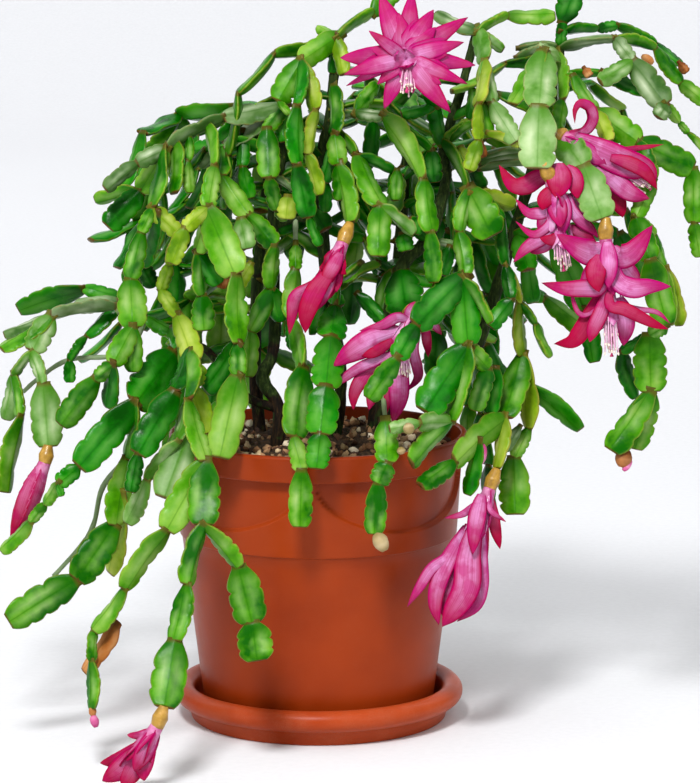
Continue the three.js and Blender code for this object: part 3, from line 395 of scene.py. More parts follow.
ring_radius = soil_radius * np.linspace(0, 1, SOIL_RINGS + 1)[1:][::-1]
turn = np.linspace(0, 2 * math.pi, ROUND_SIDES, endpoint=False)
surface_x = ring_radius[:, None] * np.cos(turn)
surface_y = ring_radius[:, None] * np.sin(turn)
surface_z = soil_height(ring_radius)[:, None] + SOIL_ROUGH * clods(surface_x, surface_y)
surface = np.stack([surface_x, surface_y, np.clip(surface_z, soil_low.z, soil_high.z)], -1)
under = []
for radius, height in ((POT_BOTTOM_RADIUS - 3.5 * MM, soil_low.z),
                       (POT_STEP_RADIUS - 3.2 * MM, POT_STEP_HEIGHT)):
    level = np.full(ROUND_SIDES, height)
    under.append(np.stack([radius * np.cos(turn), radius * np.sin(turn), level], -1))
soil_shape = skin(np.concatenate([under, surface]), np.array([0, 0, soil_low.z]),
                  np.array([0, 0, soil_high.z - 0.4 * MM]))
soil = assemble("soil_heaped", [plain(soil_shape)], [potting_soil()])
stand_for(soil, "soil")

puffed_perlite = crumbly("puffed_perlite", [(0.1, "#7c5c3e"), (0.5, "#b8966c"), (0.8, "#dcc49c"),
                                            (1.0, "#efe0c4")], 0.6 * MM, 0.85)
pine_bark = crumbly("pine_bark_chips", [(0.1, "#24140a"), (0.5, "#54331e"), (0.8, "#8c6240"),
                                        (1.0, "#a87e58")], 0.9 * MM, 0.88)
for name, lying, material in (("perlite_grains", PERLITE, puffed_perlite), ("bark_chips", BARK, pine_bark)):
    crumbs = assemble(name, scattered(*lying), [material])
    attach(crumbs, "root")


# ---- Woody stems ----
# The oldest joints of the plant, turned to wood: corky brown bark with fissures along the stem and
# a waist at each former joint, still green towards the top. They stand rooted in the soil.
#
# A place on the plant is [across, up, out] in millimetres: across and up as sighted from an eye
# point two metres in front of the pot's axis, on the upright plane through it, out to the viewer.
EYE_ACROSS = 17
EYE_UP = 518
EYE_DISTANCE = 2000


def sighted(place):
    """A sighted place as a point, in metres."""
    across, up, out = place[:3]
    shrink = 1 - out / EYE_DISTANCE
    x = EYE_ACROSS + (across - EYE_ACROSS) * shrink
    return np.array([x, -out, EYE_UP + (up - EYE_UP) * shrink]) * MM


def unit(vector):
    """The vector at length one."""
    return vector / np.linalg.norm(vector)


def smooth_line(points, steps):
    """A smooth curve through points, with so many steps between each two."""
    points = np.asarray(points, float)
    before = np.concatenate([[2 * points[0] - points[1]], points[:-2]])
    after = np.concatenate([points[2:], [2 * points[-1] - points[-2]]])
    line = []
    for a, b, c, d in zip(before, points[:-1], points[1:], after):
        for t in np.linspace(0, 1, steps, endpoint=False):
            line.append(0.5 * (2 * b + (c - a) * t + (2 * a - 5 * b + 4 * c - d) * t ** 2
                               + (3 * b - a - 3 * c + d) * t ** 3))
    return np.array(line + [points[-1]])


def rod(points, radii, columns, rough=0.0, rng=None):
    """A round, untwisted skin along a line of points."""
    along = np.gradient(points, axis=0)
    along = along / np.linalg.norm(along, axis=1, keepdims=True)
    across = np.cross([0, 1, 0], along[0])
    if np.linalg.norm(across) < 0.2:
        across = np.array([1.0, 0, 0])
    turn = np.linspace(0, 2 * math.pi, columns, endpoint=False)
    sections = []
    for point, way, radius in zip(points, along, radii):
        across = unit(across - way * np.dot(across, way))
        third = np.cross(way, across)
        reach = np.full(columns, radius)
        if rough:
            reach = reach * (1 + rough * rng.normal(size=columns))
        ring = np.cos(turn)[:, None] * across + np.sin(turn)[:, None] * third
        sections.append(point + reach[:, None] * ring)
    return skin(np.array(sections), points[0], points[-1])


BARK_JOINT = 31 * MM
TRUNK_SIDES = 16
WOOD = {
    "trunk_left": [
        [[-24, 136, 18, 3.8], [-21, 167, 18, 3.6], [-30, 184, 14, 3.4], [-25, 196, 10, 3.3],
         [-23, 214, 8, 3.2], [-24, 268, 4, 3], [-20, 300, 0, 2.8], [-17, 332, 0, 2.4]],
        [[-22, 168, 18, 2.6], [-38, 174, 18, 2.3], [-50, 188, 14, 2.1], [-60, 200, 6, 2],
         [-72, 206, 0, 1.9]],
        [[-24, 266, 4, 1.8], [-12, 270, 4, 1.6], [-3, 270, 0, 1.5]],
    ],
    "trunk_middle": [
        [[6, 136, -8, 3.8], [12, 185, -12, 3.5], [4, 240, -12, 3.3], [2, 300, -10, 3],
         [6, 322, -6, 2.8], [8, 342, -4, 2.6], [12, 369, -2, 2.3]],
    ],
    "trunk_right": [
        [[34, 136, 12, 4.2], [36, 200, 14, 4], [44, 243, 16, 3.6], [57, 257, 18, 3.4],
         [62, 268, 16, 3.2], [68, 292, 8, 3], [67, 309, 2, 2.8], [76, 340, -8, 2.5],
         [84, 371, -12, 2.2]],
    ],
    "trunk_far_right": [
        [[52, 136, -14, 3.8], [84, 200, -22, 3.5], [104, 262, -24, 3.2], [118, 312, -20, 2.9],
         [127, 344, -14, 2.5], [128, 362, -14, 2.2]],
    ],
    "trunk_back_left": [
        [[-30, 136, -26, 3.8], [-34, 200, -36, 3.5], [-30, 262, -40, 3.1], [-24, 312, -42, 2.6]],
    ],
    "trunk_back_right": [
        [[26, 136, -34, 3.8], [36, 200, -48, 3.5], [44, 262, -52, 3.1], [48, 318, -54, 2.6]],
    ],
}


def corky_bark():
    """Corky bark on a lignified stem: long fissures, grey crests, green skin higher up."""
    material, tree = new_material("corky_cactus_bark")
    place = add(tree, "TexCoord").outputs["Object"]
    stretched = add(tree, "Mapping", {"Scale": (1, 1, 0.22)}, {"Vector": place})
    fissure = add(tree, "TexNoise", {"Scale": 1 / (1.3 * MM), "Detail": 7, "Roughness": 0.7},
                  {"Vector": stretched})
    brown = add(tree, "ValToRGB", links={"Fac": fissure},
                stops=[(0.34, "#070402"), (0.48, "#180f07"), (0.62, "#362511"), (0.78, "#6c5838")])
    green = add(tree, "ValToRGB", links={"Fac": fissure},
                stops=[(0.34, "#0e1a04"), (0.55, "#284010"), (0.76, "#5a6e34")])
    own_mark = add(tree, "Attribute", attribute_name="mark").outputs["Vector"]
    mark = add(tree, "SeparateXYZ", links={0: own_mark})
    patch = add(tree, "TexNoise", {"Scale": 1 / (14 * MM), "Detail": 3}, {"Vector": place})
    level = add(tree, "Math", links={0: mark.outputs[1], 1: patch}, operation="ADD")
    youth = add(tree, "ValToRGB", links={"Fac": level}, stops=[(0.95, 0.0), (1.0, 0.75)])
    colour = add(tree, "MixRGB", links={"Fac": youth, "Color1": brown, "Color2": green})
    bump = add(tree, "Bump", {"Strength": 0.8, "Distance": 0.5 * MM}, {"Height": fissure})
    finish_material(tree, {"Roughness": 0.8, "IOR": 1.45, "Specular IOR Level": 0.2},
                    {"Base Color": colour, "Normal": bump})
    return material


def trunk_part(branch, seed):
    """One branch, with a waist at each old joint."""
    rng = np.random.default_rng(seed)
    line = smooth_line([sighted(place) for place in branch], 12)
    share = np.linspace(0, 1, len(line))
    radii = np.interp(share, np.linspace(0, 1, len(branch)), [place[3] * MM for place in branch])
    gone = np.concatenate([[0], np.cumsum(np.linalg.norm(np.diff(line, axis=0), axis=1))])
    waist = np.abs(np.sin(math.pi * gone / BARK_JOINT + rng.uniform(0, 3)))
    radii = radii * (0.86 + 0.16 * np.sqrt(waist))
    points, quads, triangles = rod(line, radii, TRUNK_SIDES, 0.035, rng)
    along = np.append(np.repeat(share, TRUNK_SIDES), [0, 1])
    height = np.clip(points[:, 2] / cad_high.z, 0, 1)
    marks = np.stack([along, height, np.full(len(points), rng.random())], -1)
    return points, quads, triangles, 0, marks


bark_material = corky_bark()
for name, branches in WOOD.items():
    parts = [trunk_part(branch, 31 + i + 7 * len(name)) for i, branch in enumerate(branches)]
    trunk = assemble(name + "_bark", parts, [bark_material])
    stand_for(trunk, name)


# ---- Leafy stems ----
# Chains of flat, fleshy joints, each grown out of the tip of the last: a narrow neck, blunt
# teeth along both edges, a cut-off tip, and a soft rib down the middle. The skin is a green wax.
SEGMENT_THICK = 4.2 * MM
SEGMENT_FULLER = 1.07  # the teeth reach this much past the width seen, and the notches fall short
SEGMENT_ARCH = 0.05
SEGMENT_FULL_WIDTH = 15 * MM
SEGMENT_SLIMNESS = 0.4
SEGMENT_ROOT = 1.6 * MM
SEGMENT_RINGS = 30
EGG_RINGS = 11
EGG_SIDES = 14
SMALL_RINGS = 17  # on the small joints and on those further in or back
ROOT_DEPTH = 3 * MM
VIEWER_WAY = np.array([0, 1.0, 0])
UPWARD = np.array([0, 0, 1.0])
BASE_WIDTH = 0.44  # share of full width where a joint leaves the last one
TIP_CUT = 0.46  # share of width lost at the cut-off tip
ACROSS = np.array([1, 0.96, 0.84, 0.62, 0.36, 0.14, 0, -0.14, -0.36, -0.62, -0.84, -0.96, -1])
# Each kind of skin: deep, middle and light tone, a pale sheen painted on as highlight and its share, margin
# tone (painted lighter as lit through on most kinds), roughness.
SKINS = {
    "fresh": ("#0e5600", "#468a04", "#78a434", "#b6ca8c", 0.45, "#90a038", 0.32),
    "dark": ("#033e00", "#0c7000", "#38880c", "#88b868", 0.34, "#588828", 0.28),
    "yellow": ("#487008", "#769610", "#9eb03a", "#c8d084", 0.45, "#a08840", 0.35),
    "pale": ("#3a7010", "#669242", "#96b276", "#ccd6b2", 0.62, "#a0ac60", 0.37),
    "grey": ("#2c5218", "#54743a", "#80986a", "#c0ccac", 0.8, "#7c8c5c", 0.42),
    "withered": ("#6c3812", "#a4622a", "#c08a54", "#cfa57c", 0.3, "#7a4218", 0.6),
    "bud": ("#b03a70", "#cf5c96", "#e6a0c2", "#f0c0d8", 0.5, "#e6a0c2", 0.4),
    "fruit": ("#7c6c3c", "#a48c60", "#bca680", "#d4c8a4", 0.4, "#a08058", 0.45),
}
KINDS = list(SKINS)
# Each stem is a list of chains of joints: [kind, start, [across, up, out, width seen], ...].
LEAFY = {
    "arm_left_high": [
        ["grey", [-17, 331, 2], [-50, 324, 10, 8], [-80, 308, 20, 8], [-96, 300, 26, 9],
         [-113, 286, 32, 8]],
        ["grey", [-17, 331, 2], [-50, 309, 0, 6], [-62, 298, -6, 6]],
        ["dark", [-50, 309, 0], [-66, 307, -10, 9]],
        ["fresh", [-80, 308, 20], [-94, 285, 12, 11], [-118, 280, 2, 8]],
        ["dark", [-94, 285, 12], [-112, 266, 20, 13]],
        ["fresh", [-68, 314, 16], [-69, 301, 20, 5], [-68, 284, 24, 6]],
    ],
    "fall_left": [
        ["fresh", [-82, 307, 21], [-88, 276, 38, 6.5], [-94, 263, 40, 7], [-100, 238, 46, 10],
         [-99, 212, 54, 15], [-110, 192, 60, 12], [-119, 184, 56, 8], [-138, 159, 52, 13]],
        ["fresh", [-99, 212, 54], [-99, 188, 50, 10]],
        ["dark", [-110, 192, 60], [-113, 169, 48, 8]],
    ],
    "fall_left_inner": [
        ["yellow", [-88, 276, 38], [-74, 262, 38, 9], [-79, 246, 28, 6], [-84, 232, 24, 7],
         [-75, 218, 34, 7], [-66, 193, 58, 13], [-68, 180, 62, 13], [-60, 154, 68, 13],
         [-60, 142, 70, 6]],
        ["dark", [-88, 276, 38], [-94, 246, 22, 8], [-88, 234, 14, 9]],
        ["fresh", [-75, 218, 34], [-72, 190, 42, 7]],
    ],
    "arm_left_low": [
        ["dark", [-72, 206, 1], [-92, 217, -4, 5], [-106, 228, -10, 6], [-125, 233, -16, 7],
         [-160, 222, -22, 12]],
        ["grey", [-92, 217, -4], [-108, 223, 2, 6], [-143, 218, 10, 8], [-168, 208, 12, 5]],
        ["fresh", [-143, 218, 10], [-170, 200, 20, 6]],
        ["pale", [-143, 218, 10], [-153, 199, 22, 13], [-163, 186, 18, 5], [-168, 162, 14, 9]],
        ["fresh", [-163, 186, 18], [-160, 164, 26, 6], [-169, 122, 30, 8]],
        ["pale", [-153, 199, 22], [-147, 181, 32, 7], [-145, 147, 40, 16]],
        ["twig", [-92, 217, -4], [-103, 198, -8, 3], [-133, 194.5, -10, 3], [-150, 184, -8, 3],
         [-158, 177, -8, 3]],
        ["dark", [-106, 228, -10], [-124, 207, -2, 6], [-133, 194, 0, 5], [-133, 182, 2, 6.5]],
    ],
    "fall_left_low": [
        ["dark", [-79, 210, -1], [-77, 198, 26, 7], [-98, 171, 62, 20], [-129, 136, 78, 16],
         [-140, 127, 82, 9], [-138, 120, 84, 4]],
        ["fresh", [-140, 127, 82], [-147, 116, 72, 6], [-155, 106, 66, 6], [-171, 90, 60, 6]],
        ["fresh", [-98, 171, 62], [-103, 141, 58, 5], [-110, 104, 64, 12], [-131, 74, 76, 17],
         [-168, 51, 84, 16]],
        ["yellow", [-106, 122, 60], [-112, 78, 44, 10]],
        ["twig", [-103, 141, 58], [-116, 125, 48, 3], [-121, 105, 44, 3], [-128, 93, 42, 3],
         [-143, 76, 40, 3]],
    ],
    "fall_left_front": [
        ["dark", [-68.5, 200, 51], [-77, 177, 72, 8], [-97, 143, 84, 15], [-101, 122, 88, 8]],
        ["fresh", [-68.5, 200, 51], [-70, 172, 86, 8], [-61, 139, 100, 8], [-82, 101, 112, 15],
         [-105, 69, 112, 11], [-122, 46, 110, 7], [-123, 29, 112, 5], [-123, 2, 118, 6]],
        ["fresh", [-61, 139, 100], [-62, 104, 114, 16], [-71, 71, 126, 9], [-78, 40, 140, 10],
         [-84, 3, 160, 17]],
        ["fresh", [-62, 104, 114], [-43, 81, 110, 9], [-36, 50, 116, 17], [-33, 29, 122, 17]],
    ],
    "fall_rim_left": [
        ["pale", [-70, 172, 63], [-75, 150, 76, 7], [-92, 129, 74, 7], [-103, 105, 72, 9]],
        ["pale", [-68, 160, 68], [-83, 119, 86, 17]],
    ],
    "fall_crown_left": [
        ["fresh", [-18, 331, 2], [-27, 318, 18, 8], [-26, 292, 30, 12], [-22, 275, 24, 8],
         [-17, 270, 18, 6]],
        ["dark", [-18, 331, 2], [-18, 311, 10, 8]],
    ],
    "fall_arm_inner": [
        ["dark", [-40, 316, 2], [-40, 298, 10, 7], [-36, 281, 14, 8]],
    ],
    "fall_arm_middle": [
        ["fresh", [-50, 309, 0], [-51, 293, 16, 7], [-37, 272, 28, 10], [-23, 256, 32, 11],
         [-25, 233, 26, 8], [-36, 210, 24, 10], [-38, 185, 28, 10]],
        ["dark", [-25, 233, 26], [-20, 215, 22, 10]],
    ],
    "fall_arm_front": [
        ["fresh", [-58, 320, 13], [-55, 298, 34, 6], [-59, 276, 46, 9], [-44, 240, 58, 17],
         [-43, 203, 66, 11], [-43, 186, 70, 9], [-53, 141, 84, 16]],
        ["yellow", [-59, 276, 46], [-71, 265, 54, 8], [-78, 246, 58, 9]],
        ["fresh", [-59, 276, 46], [-64, 252, 42, 8], [-62, 229, 42, 6], [-61, 210, 46, 12]],
        ["dark", [-43, 203, 66], [-60, 178, 52, 11]],
        ["fresh", [-43, 186, 70], [-57, 161, 60, 9]],
        ["dark", [-64, 252, 42], [-53, 235, 40, 10]],
    ],
    "fall_arm_outer": [
        ["fresh", [-75, 311, 18], [-76, 284, 32, 7]],
    ],
    "crown_top_left": [
        ["fresh", [12, 368, 0], [-9, 354, 14, 12], [-21, 333, 24, 13], [-15, 326, 26, 4]],
        ["yellow", [-9, 354, 14], [-1, 328, 26, 9], [-5, 305, 24, 6], [1, 283, 26, 7]],
        ["dark", [-9, 354, 14], [-11, 330, 32, 6], [-11, 299, 42, 9], [-5, 271, 44, 11],
         [1, 256, 42, 5]],
        ["yellow", [12, 368, 0], [14, 347, 12, 8]],
        ["dark", [12, 368, 0], [7, 348, -2, 6]],
        ["fresh", [12, 368, 0], [0, 372, -10, 5]],
        ["fresh", [12, 368, 0], [29, 380, -14, 5], [43, 396, -22, 11]],
    ],
    "crown_middle": [
        ["fresh", [8, 341, -2], [9, 315, 12, 7], [11, 299, 20, 10], [12, 280, 24, 8]],
        ["fresh", [11, 299, 20], [17, 268, 32, 9]],
        ["dark", [9, 315, 12], [4, 290, 8, 7], [4, 274, 6, 7]],
    ],
    "fall_centre_bright": [
        ["grey", [7, 323, -4], [20, 327, 8, 5], [35, 325, 20, 6]],
        ["fresh", [35, 325, 20], [56, 291, 46, 10], [60, 263, 56, 10], [62, 236, 60, 9]],
        ["dark", [35, 325, 20], [60, 307, 24, 4], [62, 290, 22, 9]],
        ["fresh", [20, 327, 8], [31, 342, -4, 8]],
    ],
    "fall_centre_pale": [
        ["fresh", [6, 318, -6], [21, 304, 14, 7], [33, 277, 36, 10], [32, 250, 44, 12]],
        ["pale", [33, 277, 36], [51, 262, 36, 7]],
        ["dark", [21, 304, 14], [40, 296, 8, 6], [41, 280, 6, 6]],
    ],
    "fall_centre_dark": [
        ["twig", [-12, 270, 4], [-12, 256, 14, 3]],
        ["fresh", [-12, 256, 14], [-12, 243, 20, 7], [-14, 216, 30, 9], [-8, 190, 52, 8],
         [-13, 152, 80, 14], [-9, 134, 92, 9], [-10, 103, 96, 12]],
        ["dark", [-14, 216, 30], [-13, 200, 34, 8]],
    ],
    "fall_front_centre": [
        ["dark", [5, 240, -9], [9, 223, 26, 8], [7, 207, 56, 15], [4, 180, 78, 16], [1, 154, 92, 16],
         [-1, 135, 98, 12]],
    ],
    "fall_front_right": [
        ["twig", [36, 200, 15], [35, 176, 60, 3], [36, 161, 80, 3]],
        ["fresh", [36, 161, 80], [37, 138, 94, 12], [32, 127, 96, 11], [30, 99, 100, 11]],
    ],
    "crown_right_dark": [
        ["dark", [67, 308, 3], [62, 330, 10, 8], [51, 352, 18, 8]],
        ["dark", [62, 330, 10], [44, 326, 14, 6]],
        ["fresh", [67, 308, 3], [80, 323, 4, 5], [82, 340, 2, 5]],
        ["fresh", [67, 308, 3], [80, 286, 34, 5], [75, 263, 44, 8], [79, 240, 56, 9]],
    ],
    "fall_right_front": [
        ["dark", [79, 240, 56], [52, 213, 76, 16], [42, 195, 88, 11]],
        ["fresh", [42, 195, 88], [27, 173, 92, 11]],
        ["dark", [79, 240, 56], [80, 202, 64, 15], [57, 166, 80, 18]],
        ["fresh", [79, 240, 56], [92, 214, 62, 5]],
        ["fresh", [80, 202, 64], [71, 161, 72, 8], [50, 138, 92, 11]],
        ["pale", [71, 161, 72], [54, 160, 90, 10], [38, 157, 94, 7]],
        ["fresh", [80, 202, 64], [91, 190, 56, 9], [84, 167, 52, 10]],
    ],
    "fall_right_broad": [
        ["fresh", [80, 286, 34], [93, 261, 40, 18]],
        ["yellow", [80, 286, 34], [104, 277, 22, 10]],
        ["dark", [86, 283, 31], [98, 270, 26, 6], [100, 245, 34, 6], [103, 227, 42, 7],
         [92, 212, 46, 9]],
        ["yellow", [100, 245, 34], [107, 226, 24, 5], [109, 197, 20, 6], [113, 157, 22, 9]],
        ["fresh", [109, 197, 20], [100, 163, 42, 13], [73, 139, 74, 14], [55, 126, 90, 9]],
        ["dark", [86, 150, 58], [80, 121, 58, 7]],
        ["yellow", [100, 163, 42], [96, 135, 52, 6]],
        ["fresh", [113, 157, 22], [105, 141, 30, 8], [106, 110, 40, 16]],
        ["dark", [112, 181, 21], [141, 157, 20, 10]],
        ["fresh", [107, 226, 24], [116, 214, 20, 4], [124, 196, 18, 3]],
    ],
    "leaf_middle_big": [
        ["dark", [44, 243, 18], [47, 220, 40, 20]],
    ],
    "leaf_middle_round": [
        ["dark", [58, 259, 19], [48, 270, 26, 8]],
    ],
    "crown_right_top": [
        ["pale", [84, 371, -10], [88, 354, 12, 9], [92, 332, 24, 8], [105, 311, 32, 10]],
        ["yellow", [88, 354, 12], [85, 331, 32, 6], [85, 312, 38, 6], [80, 296, 42, 8]],
        ["grey", [84, 371, -10], [62, 379, -20, 6]],
        ["pale", [84, 371, -10], [98, 360, -4, 6]],
        ["fresh", [84, 371, -10], [100, 378, -20, 4], [125, 378, -24, 7]],
    ],
    "crown_far_right": [
        ["pale", [127, 358, -14], [119, 359, 14, 6], [117, 330, 50, 17], [116, 297, 62, 19]],
        ["fresh", [119, 359, 14], [103, 331, 26, 8]],
        ["fresh", [127, 358, -14], [129, 333, 8, 6], [127, 316, 24, 8]],
        ["pale", [127, 316, 24], [141, 298, 54, 16], [151, 270, 62, 17]],
    ],
    "arm_right_high": [
        ["grey", [128, 361, -14], [157, 366, -4, 5], [166, 354, 6, 8], [184, 331, 16, 14],
         [180, 324, 20, 9]],
        ["pale", [166, 354, 6], [149, 343, 18, 9]],
        ["fresh", [157, 366, -4], [178, 361, -12, 6], [192, 343, -14, 7], [206, 332, -16, 8]],
        ["fresh", [184, 331, 16], [191, 322, 8, 6], [196, 316, 6, 4], [204, 307, 4, 3]],
    ],
    "arm_right_back": [
        ["dark", [128, 361, -14], [129, 375, -13, 6], [136, 394, -10, 13]],
        ["dark", [129, 370, -14], [147, 371, -26, 5], [158, 373, -30, 6], [178, 363, -34, 6],
         [192, 352, -36, 4]],
    ],
    "arm_right_low": [
        ["dark", [127, 344, -13], [150, 348, -2, 5], [173, 337, -2, 7]],
        ["fresh", [127, 344, -13], [135, 346, 4, 4], [147, 327, 14, 7], [170, 311, 20, 14],
         [199, 297, 20, 14], [200, 268, 26, 11], [203, 250, 24, 8]],
        ["yellow", [147, 327, 14], [154, 311, 30, 8]],
        ["fresh", [170, 311, 20], [178, 291, 34, 8], [169, 271, 42, 9], [177, 248, 50, 12],
         [186, 213, 50, 14], [177, 208, 48, 8], [178, 177, 52, 17], [157, 145, 58, 12]],
        ["fresh", [178, 177, 52], [170, 146, 48, 14]],
        ["fresh", [169, 271, 42], [179, 262, 36, 6], [185, 243, 34, 6], [188, 213, 36, 5]],
        ["yellow", [185, 243, 34], [192, 213, 30, 6]],
        ["dark", [177, 208, 48], [162, 199, 44, 5], [170, 174, 40, 8]],
    ],
    "leaves_behind_blooms": [
        ["dark", [104, 262, -23], [126, 260, -10, 8], [142, 221, 6, 15]],
        ["dark", [104, 262, -23], [112, 243, -4, 12]],
        ["dark", [142, 221, 6], [148, 193, 10, 9]],
        ["dark", [126, 260, -10], [160, 262, -4, 11], [176, 232, 4, 14]],
    ],
}


def cactus_skin(kind):
    """The waxy skin of one kind of joint: mottled and deeper towards the base, with a pale sheen painted on
    both flanks as a highlight, a margin of its own tone painted as lit through, and a corky line at the
    notches and where a joint was cut off."""
    deep, middle, light, painted_sheen, sheen_share, margin, rough = SKINS[kind]
    material, tree = new_material(kind + "_cactus_skin")
    place = add(tree, "TexCoord").outputs["Object"]
    own_mark = add(tree, "Attribute", attribute_name="mark").outputs["Vector"]
    mark = add(tree, "SeparateXYZ", links={0: own_mark})
    across = add(tree, "Math", links={0: mark.outputs[0]}, operation="ABSOLUTE")
    # Tone: a third from the joint's own lot, the rest from broad drifts along it and fine flecks.
    own = add(tree, "Mapping", {"Scale": (0.7, 1.7, 40)}, {"Vector": own_mark})
    cloud = add(tree, "TexNoise", {"Scale": 1, "Detail": 1.5}, {"Vector": own})
    fleck = add(tree, "TexNoise", {"Scale": 1 / (3 * MM), "Detail": 3}, {"Vector": place})
    lot = add(tree, "Math", {1: 0.44, 2: -0.475}, {0: mark.outputs[2]}, operation="MULTIPLY_ADD")
    mottle = add(tree, "Math", {1: 0.35}, {0: fleck, 2: lot}, operation="MULTIPLY_ADD")
    level = add(tree, "Math", {1: 1.15}, {0: cloud, 2: mottle}, operation="MULTIPLY_ADD")
    tone = add(tree, "ValToRGB", links={"Fac": level},
               stops=[(0.2, deep), (0.5, middle), (0.85, light)])
    # Deeper towards the base of each joint.
    base_deepening = add(tree, "ValToRGB", links={"Fac": mark.outputs[1]},
                 stops=[(0.0, 0.8), (0.3, 0.3), (0.6, 0.0)])
    deepened = add(tree, "MixRGB", {"Color2": deep}, {"Fac": base_deepening, "Color1": tone})
    # Painted highlight: a pale sheen on the flanks between the rib and the margin, broken into patches.
    flank = add(tree, "ValToRGB", links={"Fac": across}, stops=[(0.04, 0.1), (0.38, 1.0), (0.84, 0.0)])
    stretch = add(tree, "ValToRGB", links={"Fac": mark.outputs[1]},
                  stops=[(0.12, 0.0), (0.5, 1.0), (0.98, 0.15)])
    sheen_patches = add(tree, "ValToRGB", links={"Fac": cloud}, stops=[(0.38, 0.0), (0.66, sheen_share)])
    band = add(tree, "Math", links={0: flank, 1: stretch}, operation="MULTIPLY")
    sheen_mask = add(tree, "Math", links={0: band, 1: sheen_patches}, operation="MULTIPLY")
    # The painted sheen colour is mixed over the flanks here, standing in for highlights.
    sheened = add(tree, "MixRGB", {"Color2": painted_sheen}, {"Fac": sheen_mask, "Color1": deepened})
    rib = add(tree, "ValToRGB", links={"Fac": across}, stops=[(0.0, 0.45), (0.04, 0.2), (0.09, 0.0)])
    ribbed = add(tree, "MixRGB", {"Color2": deep}, {"Fac": rib, "Color1": sheened})
    # The thin margin has its own tone, painted lighter on most kinds as light shining through the thin edge,
    # and is corky in places.
    rim = add(tree, "ValToRGB", links={"Fac": across}, stops=[(0.9, 0.0), (0.98, 0.4), (1.0, 0.6)])
    cork = add(tree, "ValToRGB", links={"Fac": fleck}, stops=[(0.5, 0.0), (0.6, 0.8)])
    edge = add(tree, "MixRGB", {"Color1": margin, "Color2": "#7d4a20"}, {"Fac": cork})
    rimmed = add(tree, "MixRGB", links={"Fac": rim, "Color1": ribbed, "Color2": edge})
    tip = add(tree, "ValToRGB", links={"Fac": mark.outputs[1]},
              stops=[(0.0, 0.6), (0.05, 0.0), (0.97, 0.0), (0.995, 0.85)])
    tipped = add(tree, "MixRGB", {"Color2": "#5e3517"}, {"Fac": tip, "Color1": rimmed})
    # Pores 0.6 mm apart, and slow swellings that break up the highlights.
    pores = add(tree, "TexVoronoi", {"Scale": 1 / (0.6 * MM)}, {"Vector": place})
    swell = add(tree, "TexNoise", {"Scale": 1 / (6 * MM), "Detail": 2}, {"Vector": place})
    fine = add(tree, "Bump", {"Strength": 0.1, "Distance": 0.1 * MM}, {"Height": pores})
    bump = add(tree, "Bump", {"Strength": 0.3, "Distance": 0.9 * MM}, {"Height": swell, "Normal": fine})
    gloss = add(tree, "MapRange", {"To Min": rough - 0.08, "To Max": rough + 0.08}, {"Value": cloud})
    finish_material(tree, {"IOR": 1.4, "Specular IOR Level": 0.15},
                    {"Base Color": tipped, "Roughness": gloss, "Normal": bump})
    return material


skins = [cactus_skin(kind) for kind in KINDS]


def lay_out(joints, widths, facing, alternate):
    """How each joint of a chain lies: start, along, length, width, side and arch. Its flat side
    faces the given way, turned about its length until it looks as wide as seen."""
    laid = []
    for i, seen in enumerate(widths):
        chord = joints[i + 1] - joints[i]
        length = np.linalg.norm(chord)
        along = chord / length
        width = max(seen, min(SEGMENT_FULL_WIDTH, SEGMENT_SLIMNESS * length))
        side = np.cross(along, facing)
        if np.linalg.norm(side) < 0.15:
            side = np.cross(along, UPWARD)
        side = unit(side)
        turn = math.acos(min(1, seen / width)) * (-1 if alternate and i % 2 else 1)
        side = side * math.cos(turn) + np.cross(along, side) * math.sin(turn)
        arch = SEGMENT_ARCH * length
        if laid and np.dot(side, laid[-1][4]) < 0:
            side, arch = -side, -arch
        laid.append((joints[i], along, length, width, side, arch))
    return laid


def toothed_edge(share, body, rng):
    """Half width of one edge along a joint: rounded teeth with a sharp notch between each two."""
    teeth = 3 + (rng.random() < 0.4)
    first = rng.uniform(0.08, 0.2)
    phase = (share - first) / (0.98 - first) * teeth
    swell = np.abs(2 * (phase % 1) ** 0.85 - 1) ** 3.5
    notch = np.where((phase > 0.5) & (phase < teeth - 0.3), swell * rng.uniform(0.12, 0.26), 0)
    return body * (1 - notch)


